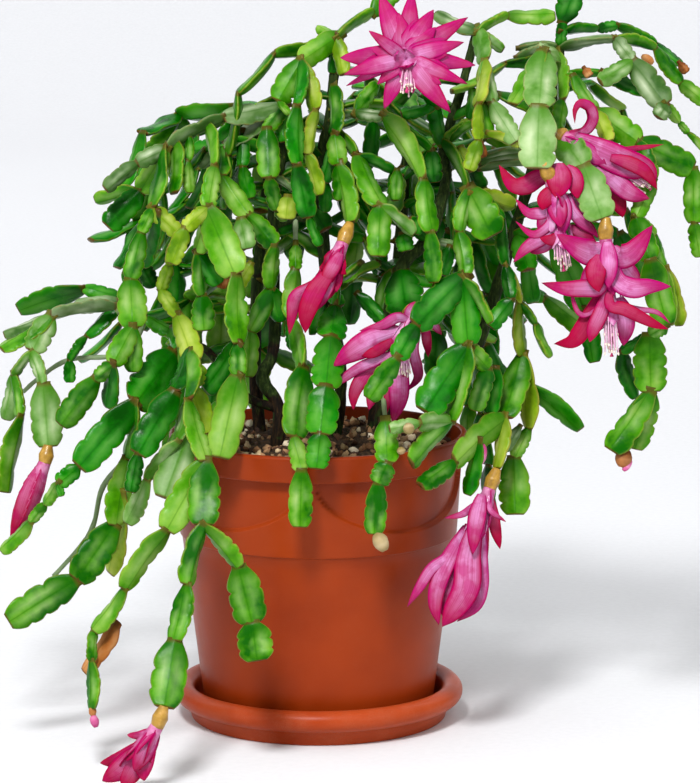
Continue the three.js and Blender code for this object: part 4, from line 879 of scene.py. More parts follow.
def joint_part(laid, number, rng, root, rings=SEGMENT_RINGS):
    """The closed surface of one joint."""
    start, along, length, width, side, arch = laid
    share = np.linspace(-root / length, 1, rings)
    clipped = np.clip(share, 0, 1)
    widening = np.clip(clipped / rng.uniform(0.26, 0.46), 0, 1)
    body = BASE_WIDTH + (1 - BASE_WIDTH) * np.sin(math.pi / 2 * widening)
    drawing_in = np.clip((clipped - 0.7) / 0.3, 0, 1) ** rng.uniform(2.2, 3.4)
    body = SEGMENT_FULLER * body * (1 - TIP_CUT * drawing_in)
    edges = [toothed_edge(clipped, body, rng), toothed_edge(clipped, body, rng)]
    half = np.stack(edges, -1) * width / 2
    twist = math.radians(rng.uniform(-11, 11)) * (clipped - 0.5)
    normal = np.cross(side, along)
    sides = side * np.cos(twist)[:, None] + normal * np.sin(twist)[:, None]
    normals = normal * np.cos(twist)[:, None] - side * np.sin(twist)[:, None]
    lifted = arch * 4 * clipped * (1 - clipped)
    spine = start + along * (share * length)[:, None] + normal * lifted[:, None]
    loop = np.concatenate([ACROSS, ACROSS[-2:0:-1]])
    face = np.concatenate([np.ones(len(ACROSS)), -np.ones(len(ACROSS) - 2)])
    reach = np.abs(loop)
    plump = SEGMENT_THICK / 2 * (1 - reach ** 2.3) ** 0.62 + 0.35 * MM * np.exp(-(loop / 0.2) ** 2)
    plump[reach == 1] = 0
    slim = np.clip(0.62 + 0.5 * np.sqrt(np.clip(np.sin(math.pi * clipped), 0, 1)), 0, 1)
    slim = slim * min(1, 0.5 + width / (16 * MM))
    fold = math.tan(math.radians(rng.uniform(-9, 15)))
    wave = rng.uniform(0.4, 1.3) * MM
    wave = wave * np.sin(2 * math.pi * (clipped * rng.uniform(0.8, 1.5) + rng.random()))
    out = np.where(loop[None, :] > 0, half[:, :1], half[:, 1:]) * loop
    lift = plump * face * slim[:, None] + np.abs(out) * fold
    lift = lift + wave[:, None] * (loop ** 2 * np.sign(loop))[None, :] * (half.mean(1) / (8 * MM))[:, None]
    sections = spine[:, None, :] + out[..., None] * sides[:, None, :] + lift[..., None] * normals[:, None, :]
    points, quads, triangles = skin(sections, spine[0], spine[-1])
    marks = np.stack([np.append(np.tile(loop, rings), [0, 0]),
                      np.append(np.repeat(clipped, len(loop)), [0, 1]),
                      np.full(len(points), rng.random())], -1)
    return points, quads, triangles, number, marks


def twig_part(joints, thick, number, rng):
    """A thin round stem through joints."""
    line = smooth_line(joints, 6)
    radii = thick * np.linspace(1, 0.8, len(line)) * (1 + 0.06 * rng.normal(size=len(line)))
    points, quads, triangles = rod(line, radii, 10)
    marks = np.tile([0.5, 0.5, rng.random()], (len(points), 1))
    return points, quads, triangles, number, marks


def leafy_parts(chains, rng):
    """Every joint of a stem's chains."""
    hold = sighted(chains[0][1])
    away = unit(sighted(chains[0][2]) - hold)
    parts = []
    for i, (kind, first, *rest) in enumerate(chains):
        joints = [sighted(place) for place in [first, *rest]]
        if np.linalg.norm(joints[0] - hold) < 0.1 * MM and i:
            joints[0] = joints[0] + away * ROOT_DEPTH
        if kind == "twig":
            parts.append(twig_part(joints, max(rest[0][3], 2.4) / 2 * MM, KINDS.index("grey"), rng))
            continue
        laid = lay_out(joints, [place[3] * MM for place in rest], VIEWER_WAY, True)
        for j, joint in enumerate(laid):
            root = ROOT_DEPTH if j == 0 else SEGMENT_ROOT
            parts.append(joint_part(joint, KINDS.index(kind), rng, root))
    return parts


def egg_part(start, end, width, number, rng):
    """A plump bud or fruit between two places."""
    line = np.linspace(start, end, EGG_RINGS)
    radii = width / 2 * np.sqrt(np.sin(math.pi * np.linspace(0.04, 0.95, EGG_RINGS)))
    points, quads, triangles = rod(line, radii, EGG_SIDES, 0.02, rng)
    marks = np.full((len(points), 3), 0.4)
    along = np.repeat(np.linspace(0.1, 0.9, EGG_RINGS), EGG_SIDES)
    marks[:, 1] = np.append(along, [0.1, 0.9])
    marks[:, 2] = rng.random()
    return points, quads, triangles, number, marks


for order, (name, chains) in enumerate(LEAFY.items()):
    stem = assemble(name + "_grown", leafy_parts(chains, np.random.default_rng(100 + order)), skins)
    stand_for(stem, name)


# ---- Buds, fruits and small joints ----
# Flower buds at the tips of joints, small olive fruits where blooms have dropped, joints that have
# dried brown, and short joints and thin old stems among the larger ones.
SMALL_JOINTS = [  # kind, start, end, width, as on the leafy stems
    ["withered", [-109, 49, 106], [-127, 23, 104], 7], ["withered", [84, 314, 30], [88, 303, 32], 4],
    ["grey", [-107, 226, -8], [-130, 223, -6], 8], ["grey", [86, 303, -4], [108, 307, -2], 4],
    ["grey", [86, 300, -6], [110, 303, -4], 4], ["grey", [86, 297, -8], [111, 301, -6], 4],
    ["pale", [-41, 270, 34], [-38, 254, 38], 11], ["withered", [-49, 243, 36], [-52, 233, 38], 6],
    ["yellow", [-36, 246, 34], [-43, 234, 36], 8], ["yellow", [-16, 282, 26], [-17, 270, 28], 10],
    ["grey", [-23, 293, 14], [-12, 285, 16], 4], ["dark", [4, 236, 6], [12, 223, 14], 8],
    ["fresh", [17, 290, 24], [18, 268, 28], 8], ["dark", [21, 230, 10], [35, 215, 16], 8],
    ["fresh", [42, 296, 12], [41, 280, 16], 7], ["dark", [45, 262, 26], [47, 253, 28], 9],
    ["dark", [54, 270, 26], [52, 262, 28], 6], ["grey", [64, 258, 22], [72, 257, 24], 4],
    ["dark", [70, 255, 30], [66, 240, 34], 8], ["dark", [75, 278, 30], [73, 268, 32], 6],
    ["fresh", [70, 312, 4], [82, 322, 6], 5], ["yellow", [90, 316, 28], [107, 309, 30], 5],
    ["fresh", [88, 331, 22], [90, 313, 26], 7], ["grey", [105, 356, -6], [122, 361, -10], 4],
    ["grey", [106, 361, -12], [126, 362, -14], 4], ["dark", [95, 190, 40], [92, 165, 44], 8],
    ["grey", [108, 158, 30], [100, 145, 34], 6], ["yellow", [76, 308, 16], [80, 295, 22], 8],
    ["withered", [191, 353, -14], [195, 348, -13], 5], ["withered", [141, 350, -2], [144, 346, 0], 5],
]
BUDS_AND_FRUITS = [
    ["bud", [-60, 152, 68], [-60, 140, 72], 7], ["bud", [88, 149, 56], [86, 137, 58], 7],
    ["withered", [-123.2, 4, 118], [-122.6, -2, 119], 4], ["bud", [-122.8, -1, 119], [-121, -8, 120], 4.6],
    ["fruit", [31, 100, 100], [36, 90, 102], 8],
    ["fruit", [48, 160, 94], [49, 154, 96], 6], ["fruit", [44, 147, 92], [45, 143, 93], 4.5],
    ["withered", [165, 146, 54], [163, 136, 55], 9], ["bud", [168, 140, 54], [164, 134, 56], 4],
    ["withered", [171, 357, -2], [177, 353, 0], 5],
]
rng = np.random.default_rng(900)
parts = []
for kind, first, last, width in SMALL_JOINTS:
    laid = lay_out([sighted(first), sighted(last)], [width * MM], VIEWER_WAY, False)
    parts.append(joint_part(laid[0], KINDS.index(kind), rng, SEGMENT_ROOT, SMALL_RINGS))
for kind, first, last, width in BUDS_AND_FRUITS:
    parts.append(egg_part(sighted(first), sighted(last), width * MM, KINDS.index(kind), rng))
small = assemble("buds_fruits_and_small_joints", parts, skins)
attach(small, "root")


# ---- Stems at the back ----
# More leafy stems of the same kind, off two trunks at the back. They leave at several heights,
# arch out and hang, with side joints, by one rule with a seeded draw.
BACK_TRUNKS = ["trunk_back_right", "trunk_back_left"]
BACK_STEMS_EACH = 6
BACK_FROM = 35  # degrees round the pot, from its right side over the back
BACK_STEP = 35 * MM
BACK_RISE = (-4, 34)  # degrees above level at the lowest and the highest stem
BACK_DROOP = 36  # degrees lost at each joint
BACK_LOWEST = 70 * MM
BACK_FURTHEST = cad_high.y - 8 * MM
SIDE_LOWEST = 165 * MM
BACK_WIDTHS = (13.5 * MM, 15 * MM)
BACK_JOINTS = 5
BACK_STEEPEST = -84
BACK_SWAY = 10 * MM
SIDE_STEP = 31 * MM
SIDE_SHARE = 0.75  # of the joints at the back that bear a side chain on either hand


def seeded_draw(seed):
    """Draws between 0 and 1, the same ones at every run."""
    state = seed
    while True:
        state = (state * 1664525 + 1013904223) % 4294967296
        yield state / 4294967296


def back_joints(trunk_index, index):
    """The joints of one back stem, and the way that it leaves."""
    draw = seeded_draw(71 + 10 * trunk_index + index)
    order = (0, 3, 1, 4, 2, 5)[index]
    degrees = BACK_FROM + (90 - BACK_FROM) * (trunk_index + (order + 0.5) / BACK_STEMS_EACH)
    turn = math.radians(degrees)
    way = np.array([math.cos(turn), math.sin(turn), 0])
    across = np.array([-math.sin(turn), math.cos(turn), 0])
    share = index / (BACK_STEMS_EACH - 1)
    rise = BACK_RISE[0] + (BACK_RISE[1] - BACK_RISE[0]) * share + 8 * (next(draw) - 0.5)
    trunk_places = [sighted(place) for place in WOOD[BACK_TRUNKS[trunk_index]][0]]
    hold_share = (index + 1) / BACK_STEMS_EACH
    joints = [trunk_places[1] * (1 - hold_share) + trunk_places[3] * hold_share]
    for i in range(BACK_JOINTS):
        angle = math.radians(max(rise, BACK_STEEPEST))
        step = BACK_STEP * (0.85 + 0.3 * next(draw))
        place = joints[i] + way * step * math.cos(angle) + across * (next(draw) - 0.5) * BACK_SWAY
        place[2] += step * math.sin(angle)
        rise -= BACK_DROOP * (0.8 + 0.4 * next(draw))
        if place[2] < BACK_LOWEST:
            break
        joints.append(place)
    return joints, way


def hanging_chain(start, turn, rise, count, rng):
    """Joints that leave a place on a bearing, in radians, at a rise in degrees, and bend down."""
    out = np.array([math.cos(turn), math.sin(turn), 0])
    chain = [start]
    for _ in range(count):
        angle = math.radians(max(rise, BACK_STEEPEST))
        step = SIDE_STEP * rng.uniform(0.85, 1.1)
        chain.append(chain[-1] + step * (out * math.cos(angle) + UPWARD * math.sin(angle)))
        rise -= rng.uniform(25, 50)
    return chain, out


def side_joints(joints, way, rng):
    """Short hanging side chains off a back stem's joints."""
    chains = []
    for joint in joints[1:-1]:
        for hand in (-1, 1):
            if rng.random() < SIDE_SHARE:
                turn = math.atan2(way[1], way[0]) + hand * math.radians(rng.uniform(45, 95))
                chain, out = hanging_chain(joint, turn, rng.uniform(-35, 5), 1 + (rng.random() < 0.6), rng)
                kept = [place for place in chain if place[1] < BACK_FURTHEST and place[2] > SIDE_LOWEST]
                if len(kept) > 1:
                    chains.append((kept, out))
    return chains


def chain_parts(chain, out, rng):
    """The joints of one chain off another stem, their flat sides outward."""
    kinds = [KINDS.index("fresh"), KINDS.index("dark"), KINDS.index("dark")]
    laid = lay_out(chain, [rng.uniform(10, 14) * MM for _ in chain[1:]], -out, False)
    return [joint_part(joint, int(rng.choice(kinds)), rng, SEGMENT_ROOT, SMALL_RINGS) for joint in laid]


for trunk_index, side in enumerate(("right", "left")):
    for index in range(BACK_STEMS_EACH):
        rng = np.random.default_rng(300 + 10 * trunk_index + index)
        joints, way = back_joints(trunk_index, index)
        widths = [BACK_WIDTHS[i % 2] for i in range(len(joints) - 1)]
        parts = []
        for j, joint in enumerate(lay_out(joints, widths, -way, False)):
            root = ROOT_DEPTH if j == 0 else SEGMENT_ROOT
            parts.append(joint_part(joint, int(rng.integers(0, 2)), rng, root, SMALL_RINGS))
        for chain, out in side_joints(joints, way, rng):
            parts += chain_parts(chain, out, rng)
        name = f"back_{side}_stem_{index + 1}"
        stand_for(assemble(name + "_grown", parts, skins), name)


# ---- Inner sprays ----
# The heart of the plant is full of joints, most of them of the darker kind. They leave the trunks all round,
# arch out a little and hang between the outer stems, by a rule with a seeded draw.
INNER_SPRAYS = {  # trunk: (chains, lowest joint)
    "trunk_left": (8, 235 * MM), "trunk_middle": (14, 195 * MM), "trunk_right": (11, 190 * MM),
    "trunk_far_right": (6, 225 * MM), "trunk_back_left": (9, 225 * MM), "trunk_back_right": (10, 185 * MM),
}
INNER_LENGTH = 4
INNER_FRONT = 8 * MM  # no inner joint comes further out than this

for order, (name, (count, lowest)) in enumerate(INNER_SPRAYS.items()):
    rng = np.random.default_rng(700 + order)
    line = smooth_line([sighted(place) for place in WOOD[name][0]], 12)
    line = line[line[:, 2] > lowest + 25 * MM]
    parts = []
    for i in range(count):
        start = line[int((i + 0.5) / count * len(line))]
        turn = 2.4 * i + rng.uniform(-0.4, 0.4)
        chain, out = hanging_chain(start, turn, rng.uniform(-10, 30), INNER_LENGTH, rng)
        kept = [place for place in chain if place[2] > lowest and place[1] > -INNER_FRONT]
        if len(kept) > 1:
            parts += chain_parts(kept, out, rng)
    spray = assemble(name + "_inner_sprays", parts, skins)
    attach(spray, "root")


# ---- Blooms ----
# Each hangs from the tip of a joint: a waxy ovary, a tube of overlapping petals that roll back in
# two tiers, and a bundle of white stamens with a longer magenta style through the mouth.
PETAL_THICK = 0.7 * MM
PETAL_ROOT = 1.2 * MM
PETAL_BEND = 0.52
PETAL_RINGS = 22
PETAL_FULLNESS = (1.2, 1.6)  # widest part, as a share of the width seen, open and closed
PETAL_SHOWN = (0.15, 0.72)  # how far its flat side turns to the viewer, at the tube and at the tip
CURL_SHOWN = (0.35, 0.8)
CURL_THIN = 4  # narrower ones are seen on edge
PETAL_ALONG = [0, 0.12, 0.3, 0.45, 0.6, 0.75, 0.87, 0.95, 1]
PETAL_WIDTH = [0.62, 0.78, 0.95, 1, 0.97, 0.82, 0.56, 0.3, 0.04]
CURL_WIDTH = [0.5, 0.75, 0.97, 1, 0.93, 0.74, 0.48, 0.22, 0.02]
INNER_TIER = 0.68  # length of an inner petal, as a share of its neighbours
CORONA = 6  # pale petals close round the stamens
SCALES = 10  # short outer petals that lap over each other round the tube
PETAL_ACROSS = np.array([1, 0.93, 0.72, 0.38, 0, -0.38, -0.72, -0.93, -1])
TUBE_RADII = [2.3 * MM, 4.1 * MM, 3.3 * MM, 4.3 * MM, 4.2 * MM]
TUBE_SIDES = 14
SPINDLE_ALONG = [0, 0.12, 0.3, 0.5, 0.7, 0.88, 1]
SPINDLE_RADII = [2.6, 4, 5.6, 6, 4.8, 2.4, 0.3]  # millimetres
SPINDLE_RINGS = 40
SPINDLE_SIDES = 60
SPINDLE_PETALS = 5
STAMENS = 24
FILAMENT = 0.34 * MM
# A petal is [share of the tube at its root, across, up and out of its tip, width seen], a curled
# one is [width seen, redness, places from root to tip]. Redness runs from 0, lilac, to 1, crimson.
BLOOMS = {
    "bloom_top": {
        "base": [51, 352, 18.6], "neck": [49, 353, 30], "throat": [47, 355, 50],
        "stamens": [47, 338, 76],
        "petals": [[0.8, 33, 389, 44, 12], [0.8, 50, 391, 40, 10], [0.9, 61, 381, 52, 11],
                   [0.8, 79, 377, 46, 9], [1, 77, 364, 58, 8], [0.9, 83, 352, 54, 9],
                   [1, 79, 342, 60, 7], [1, 70, 327, 60, 10], [0.9, 35, 329, 52, 9],
                   [0.8, 15, 341, 52, 5], [1, 14, 347, 58, 8], [0.8, 12, 356, 50, 11],
                   [1, 27, 370, 62, 6]],
        "redness": 0.1,
    },
    "bloom_right_upper": {
        "base": [127.3, 316.3, 25.4], "neck": [131, 314, 30], "throat": [141, 308, 34],
        "stamens": [177, 286, 44],
        "curls": [[3, 0.8, [146, 311, 37], [159, 307, 40], [170, 308, 40], [183, 310, 37]],
                  [13, 0.3, [136, 313, 36], [150, 306, 43], [163, 300, 45], [174, 296, 45],
                   [178, 288, 44]],
                  [6.5, 1, [155, 303, 47], [165, 300, 50], [174, 295, 50], [180, 286, 47]],
                  [9, 0.3, [144, 303, 40], [155, 293, 44], [166, 284, 45], [176, 281, 44]],
                  [8, 1, [150, 298, 37], [156, 288, 38], [160, 278, 38], [162, 271, 38]],
                  [4.5, 1, [133, 316, 30], [141, 317, 34], [145, 323, 37], [143, 329, 38],
                   [138, 330, 37]],
                  [4.5, 0.7, [131, 315, 31], [137, 315, 34], [143, 318, 37], [146, 324, 39],
                   [144, 330, 41], [139, 332, 43], [136, 328, 43], [136, 321, 43]],
                  [8, 0, [136, 311, 38], [144, 305, 42], [153, 299, 44]],
                  [9, 0.6, [144, 308, 33], [156, 302, 31], [168, 292, 31]],
                  [8, 0.7, [148, 302, 33], [157, 292, 31], [166, 281, 33]]],
        "redness": 0.35, "scales": 6,
    },
    "bloom_right_inner": {
        "base": [119, 300, 61], "neck": [124, 291, 56], "throat": [128, 268, 58],
        "stamens": [131, 242, 62],
        "curls": [[8.5, 1, [128, 296, 51], [117, 292, 52], [110, 288, 53], [103, 289, 52],
                   [96, 299, 48]],
                  [11.5, 1, [127, 300, 56], [128, 291, 61], [127, 281, 62]],
                  [8.5, 0.9, [131, 298, 55], [136, 291, 58], [138, 281, 59]],
                  [7.5, 1, [127, 287, 58], [121, 281, 62], [119, 275, 63]],
                  [5.5, 0.4, [126, 279, 56], [121, 274, 59], [116, 273, 59], [111, 274, 58],
                   [105, 281, 55]],
                  [4.5, 0.5, [127, 278, 59], [125, 271, 60], [121, 265, 60], [114, 262, 59],
                   [105, 269, 56]],
                  [6.5, 0.3, [128, 268, 58], [123, 262, 59], [116, 258, 59], [110, 254, 58],
                   [104, 247, 56]],
                  [5.5, 1, [130, 263, 59], [125, 259, 62], [118, 260, 62]],
                  [5, 0.5, [126, 260, 56], [120, 255, 56], [113, 252, 55]],
                  [5.5, 0.3, [133, 283, 56], [135, 275, 58], [140, 269, 58], [145, 265, 56],
                   [149, 260, 55]],
                  [5.5, 0.9, [134, 266, 55], [141, 262, 55], [148, 258, 53]],
                  [8.5, 0, [129, 284, 58], [130, 274, 61], [130, 261, 61]],
                  [7.5, 0.6, [134, 284, 51], [140, 274, 46], [142, 264, 45]],
                  [7.5, 0.6, [126, 280, 49], [121, 270, 45], [118, 262, 45]]],
        "redness": 0.6, "scales": 6,
    },
    "bloom_right_open": {
        "base": [153, 271, 61], "neck": [153, 259, 63], "throat": [155, 236, 66],
        "stamens": [157, 196, 74],
        "curls": [[12, 0.3, [153, 256, 64], [148, 252, 70], [140, 254, 76], [127, 262, 78]],
                  [11, 0.4, [156, 255, 64], [160, 250, 68], [168, 253, 72], [178, 267, 72]],
                  [9, 1, [150, 251, 71], [148, 241, 77], [150, 231, 77]],
                  [8, 0.5, [152, 243, 66], [150, 234, 72], [142, 233, 76], [131, 233, 78],
                   [119, 236, 78]],
                  [9, 0.1, [156, 248, 66], [160, 237, 72], [168, 233, 76], [177, 234, 76],
                   [188, 234, 74]],
                  [8, 0, [154, 258, 69], [155, 246, 74], [155, 233, 75]],
                  [6, 1, [155, 232, 70], [156, 224, 76], [163, 222, 79], [171, 218, 80], [179, 214, 80],
                   [187, 211, 78]],
                  [2.5, 0.5, [158, 226, 68], [170, 222, 70], [181, 220, 72], [188, 214, 72]],
                  [7, 0.7, [155, 232, 70], [151, 220, 74], [147, 211, 76], [145, 204, 76]],
                  [8, 1, [152, 232, 66], [145, 218, 70], [140, 209, 72], [135, 204, 72],
                   [126, 203, 70]],
                  [2.5, 0.6, [151, 224, 68], [144, 219, 72], [139, 220, 74], [136, 227, 74],
                   [135, 234, 74]],
                  [9, 0.2, [160, 228, 62], [164, 215, 62], [163, 202, 62]],
                  [9, 0.5, [152, 252, 58], [146, 240, 50], [140, 232, 48]],
                  [9, 0.5, [158, 250, 58], [166, 240, 50], [172, 234, 48]],
                  [9, 0.5, [154, 232, 58], [152, 220, 52], [150, 210, 52]]],
        "redness": 0.3, "scales": 6,
    },
    "bloom_centre_closed": {
        "base": [17, 268, 34], "neck": [13, 257, 40], "throat": [5, 238, 44],
        "petals": [[0.5, 10, 231, 48, 6], [0.3, 15, 241, 50, 5], [0.9, 2, 226, 44, 7],
                   [1, -6, 221, 46, 8], [0.2, 1, 244, 54, 6]],
        "curls": [[6.5, 0.8, [5, 240, 48], [-4, 233, 53], [-12, 228, 55], [-14, 219, 55],
                   [-15.5, 208, 54]],
                  [9, 1, [8, 244, 50], [-1, 232, 57], [-6, 220, 59], [-7, 209, 57]],
                  [5.5, 0.5, [8, 241, 46], [4, 231, 52], [-1, 221, 53]],
                  [7, 0.9, [12, 252, 46], [7, 243, 52], [2, 235, 54]]],
        "redness": 1, "closed": 1, "scales": 7,
    },
    "bloom_middle": {
        "base": [47, 220, 40.8], "neck": [52, 221, 54], "throat": [43, 200, 64],
        "stamens": [46, 185, 70],
        "curls": [[5, 0.3, [49, 216, 60], [42, 217, 64], [34, 213, 66], [22, 210, 66]],
                  [4.5, 0.3, [48, 216, 58], [49, 221, 58], [52, 226, 56]],
                  [11.5, 0.35, [44, 210, 62], [30, 205, 68], [19, 199, 70], [8, 191, 68]],
                  [5, 1, [40, 205, 67], [31, 199, 71], [23, 196, 71]],
                  [5, 0.4, [40, 198, 66], [31, 194, 68], [22, 190, 68], [13, 184, 66], [3, 178, 64]],
                  [6.5, 0.8, [34, 196, 62], [28, 190, 64], [22, 182, 66], [19, 175, 66], [19, 167, 66]],
                  [6.5, 0.6, [36, 192, 62], [31, 184, 64], [29, 175, 66], [27, 167, 66]],
                  [9.5, 0.3, [43, 196, 66], [43, 184, 70], [43, 173, 70], [40, 160, 70]],
                  [4.5, 1, [41, 192, 64], [38, 177, 66], [36, 164, 66]],
                  [5, 0.5, [54, 213, 60], [51, 200, 62], [53, 190, 62], [53, 184, 60], [47, 177, 60]],
                  [4.5, 1, [57, 213, 58], [58, 205, 58], [59, 196, 56]],
                  [4, 0.4, [57, 216, 56], [62, 213, 56], [66, 208, 54]]],
        "redness": 0.4, "scales": 6,
    },
    "bloom_low_right": {
        "base": [96, 135, 54], "neck": [92, 124, 58], "throat": [84, 98, 62],
        "curls": [[3.5, 0.3, [90, 120, 58], [83, 114, 64], [77, 110, 68], [68, 108, 70]],
                  [5.5, 1, [93, 118, 58], [95, 104, 58], [98, 91, 58]],
                  [3, 0.4, [92, 119, 62], [93, 112, 66], [101, 106, 66]],
                  [8, 0.45, [88, 121, 63], [85, 106, 71], [83, 88, 73]],
                  [5.5, 0.3, [78, 101, 64], [70, 87, 70], [61, 80, 74], [54, 69, 76], [48, 59, 76]],
                  [8, 0.6, [80, 103, 62], [71, 87, 70], [65, 73, 74], [63, 60, 76], [65, 49, 76]],
                  [10, 0.55, [82, 104, 60], [75, 86, 65], [71, 72, 70], [69, 60, 71], [70, 50, 71]],
                  [12.5, 0.5, [85, 106, 62], [81, 87, 70], [80, 70, 76], [73, 57, 78], [67, 48, 78]],
                  [6.5, 0.1, [88, 106, 60], [88, 84, 64], [88, 70, 66], [85, 59, 70], [75, 51, 72]],
                  [4.5, 1, [90, 109, 60], [89, 90, 60], [88, 70, 60]],
                  [9, 0.6, [84, 104, 56], [80, 84, 52], [74, 62, 54]],
                  [9, 0.6, [88, 100, 54], [84, 78, 52], [79, 58, 54]]],
        "redness": 0.35, "closed": 1, "scales": 6,
    },
    "bloom_far_left": {
        "base": [-145, 148, 41], "neck": [-147, 138, 43], "throat": [-155, 120, 46],
        "petals": [[0.8, -166, 98, 48, 7], [1, -163, 100, 54, 7], [0.7, -160, 104, 44, 7],
                   [0.5, -152, 112, 50, 6]],
        "redness": 0.8, "spindle": 1,
    },
    "bloom_low_left": {
        "base": [-84, 4, 160], "neck": [-88, -8, 161], "throat": [-97, -22, 161],
        "petals": [[0.6, -119, -28, 154, 8], [0.9, -118, -38, 158, 10], [0.5, -95, -38, 162, 9],
                   [0.2, -91, -28, 162, 5], [0.05, -104, -12, 158, 4.5], [0.8, -107, -42, 160, 10]],
        "redness": 0.75, "scales": 5,
    },
}


def silky_petal():
    """Petal skin: magenta, redder on some blooms, paler down the middle and towards the tube, with
    fine long veins."""
    material, tree = new_material("silky_magenta_petal")
    place = add(tree, "TexCoord").outputs["Object"]
    own_mark = add(tree, "Attribute", attribute_name="mark").outputs["Vector"]
    mark = add(tree, "SeparateXYZ", links={0: own_mark})
    across = add(tree, "Math", links={0: mark.outputs[0]}, operation="ABSOLUTE")
    cloud = add(tree, "TexNoise", {"Scale": 1 / (8 * MM), "Detail": 4}, {"Vector": place})
    lot = add(tree, "Math", {1: 0.9, 2: -0.25}, {0: cloud}, operation="MULTIPLY_ADD")
    own = add(tree, "Math", {1: 0.6}, {0: mark.outputs[2], 2: lot}, operation="MULTIPLY_ADD")
    redness = add(tree, "Math", {1: 0.25}, {0: mark.outputs[1], 2: own}, operation="MULTIPLY_ADD")
    tone = add(tree, "ValToRGB", links={"Fac": redness},
               stops=[(0.15, "#a80a6e"), (0.5, "#a8005e"), (0.9, "#9c0030")])
    # Paler down the middle, most near the tube, and in silky clouds.
    middle = add(tree, "ValToRGB", links={"Fac": across}, stops=[(0.0, 1.0), (0.6, 0.75), (0.9, 0.0)])
    near = add(tree, "ValToRGB", links={"Fac": mark.outputs[1]},
               stops=[(0.0, 1.0), (0.45, 0.85), (0.85, 0.1)])
    silk = add(tree, "ValToRGB", links={"Fac": cloud}, stops=[(0.42, 0.4), (0.56, 1.0)])
    less = add(tree, "MapRange", {"From Min": 0.4, "To Min": 1.0, "To Max": 0.08},
               {"Value": mark.outputs[2]})
    pale = middle
    for share in (near, silk, less):
        pale = add(tree, "Math", links={0: pale, 1: share}, operation="MULTIPLY")
    body = add(tree, "MixRGB", {"Color2": "#d494c8"}, {"Fac": pale, "Color1": tone})
    veins = add(tree, "Mapping", {"Scale": (22, 1.2, 1)}, {"Vector": own_mark})
    vein = add(tree, "TexNoise", {"Scale": 1, "Detail": 3}, {"Vector": veins})
    dark = add(tree, "ValToRGB", links={"Fac": vein}, stops=[(0.4, 0.4), (0.54, 0.0)])
    veined = add(tree, "MixRGB", {"Color2": "#86042e"}, {"Fac": dark, "Color1": body})
    bump = add(tree, "Bump", {"Strength": 0.35, "Distance": 0.25 * MM}, {"Height": vein})
    finish_material(tree, {"IOR": 1.42, "Roughness": 0.4, "Specular IOR Level": 0.04},
                    {"Base Color": veined, "Normal": bump})
    return material


def waxy(name, stops, length, rough):
    """A waxy part of a bloom: colour clouds of one length, softly glossy."""
    material, tree = new_material(name)
    place = add(tree, "TexCoord").outputs["Object"]
    cloud = add(tree, "TexNoise", {"Scale": 1 / length, "Detail": 3}, {"Vector": place})
    colour = add(tree, "ValToRGB", links={"Fac": cloud}, stops=stops)
    bump = add(tree, "Bump", {"Strength": 0.15, "Distance": 0.2 * MM}, {"Height": cloud})
    finish_material(tree, {"IOR": 1.43, "Roughness": rough, "Coat Weight": 0.1},
                    {"Base Color": colour, "Normal": bump})
    return material


bloom_skins = [
    silky_petal(),
    waxy("ochre_ovary_skin", [(0.35, "#8f6a24"), (0.6, "#b0862f"), (0.75, "#c79a55")], 4 * MM, 0.4),
    waxy("pink_tube_skin", [(0.35, "#a83070"), (0.7, "#cc84ac")], 5 * MM, 0.42),
    waxy("white_filament", [(0.35, "#d898bc"), (0.7, "#ecc4d8")], 6 * MM, 0.5),
    waxy("cream_pollen", [(0.35, "#dcc3b0"), (0.7, "#f2e6dc")], 1 * MM, 0.8),
    waxy("magenta_style", [(0.35, "#a3114f"), (0.7, "#c72a72")], 6 * MM, 0.4),
    waxy("lilac_petal_skin", [(0.38, "#a82070"), (0.5, "#c066a0"), (0.64, "#d29ec2")], 7 * MM, 0.45),
]
OVARY, TUBE, WHITE, POLLEN, STYLE, LILAC = range(1, 7)  # numbers of the skins after the first


def bezier(start, bend, tip):
    """The spine of a petal: a quadratic curve."""
    t = np.linspace(0, 1, PETAL_RINGS)[:, None]
    return start * (1 - t) ** 2 + 2 * bend * t * (1 - t) + tip * t ** 2


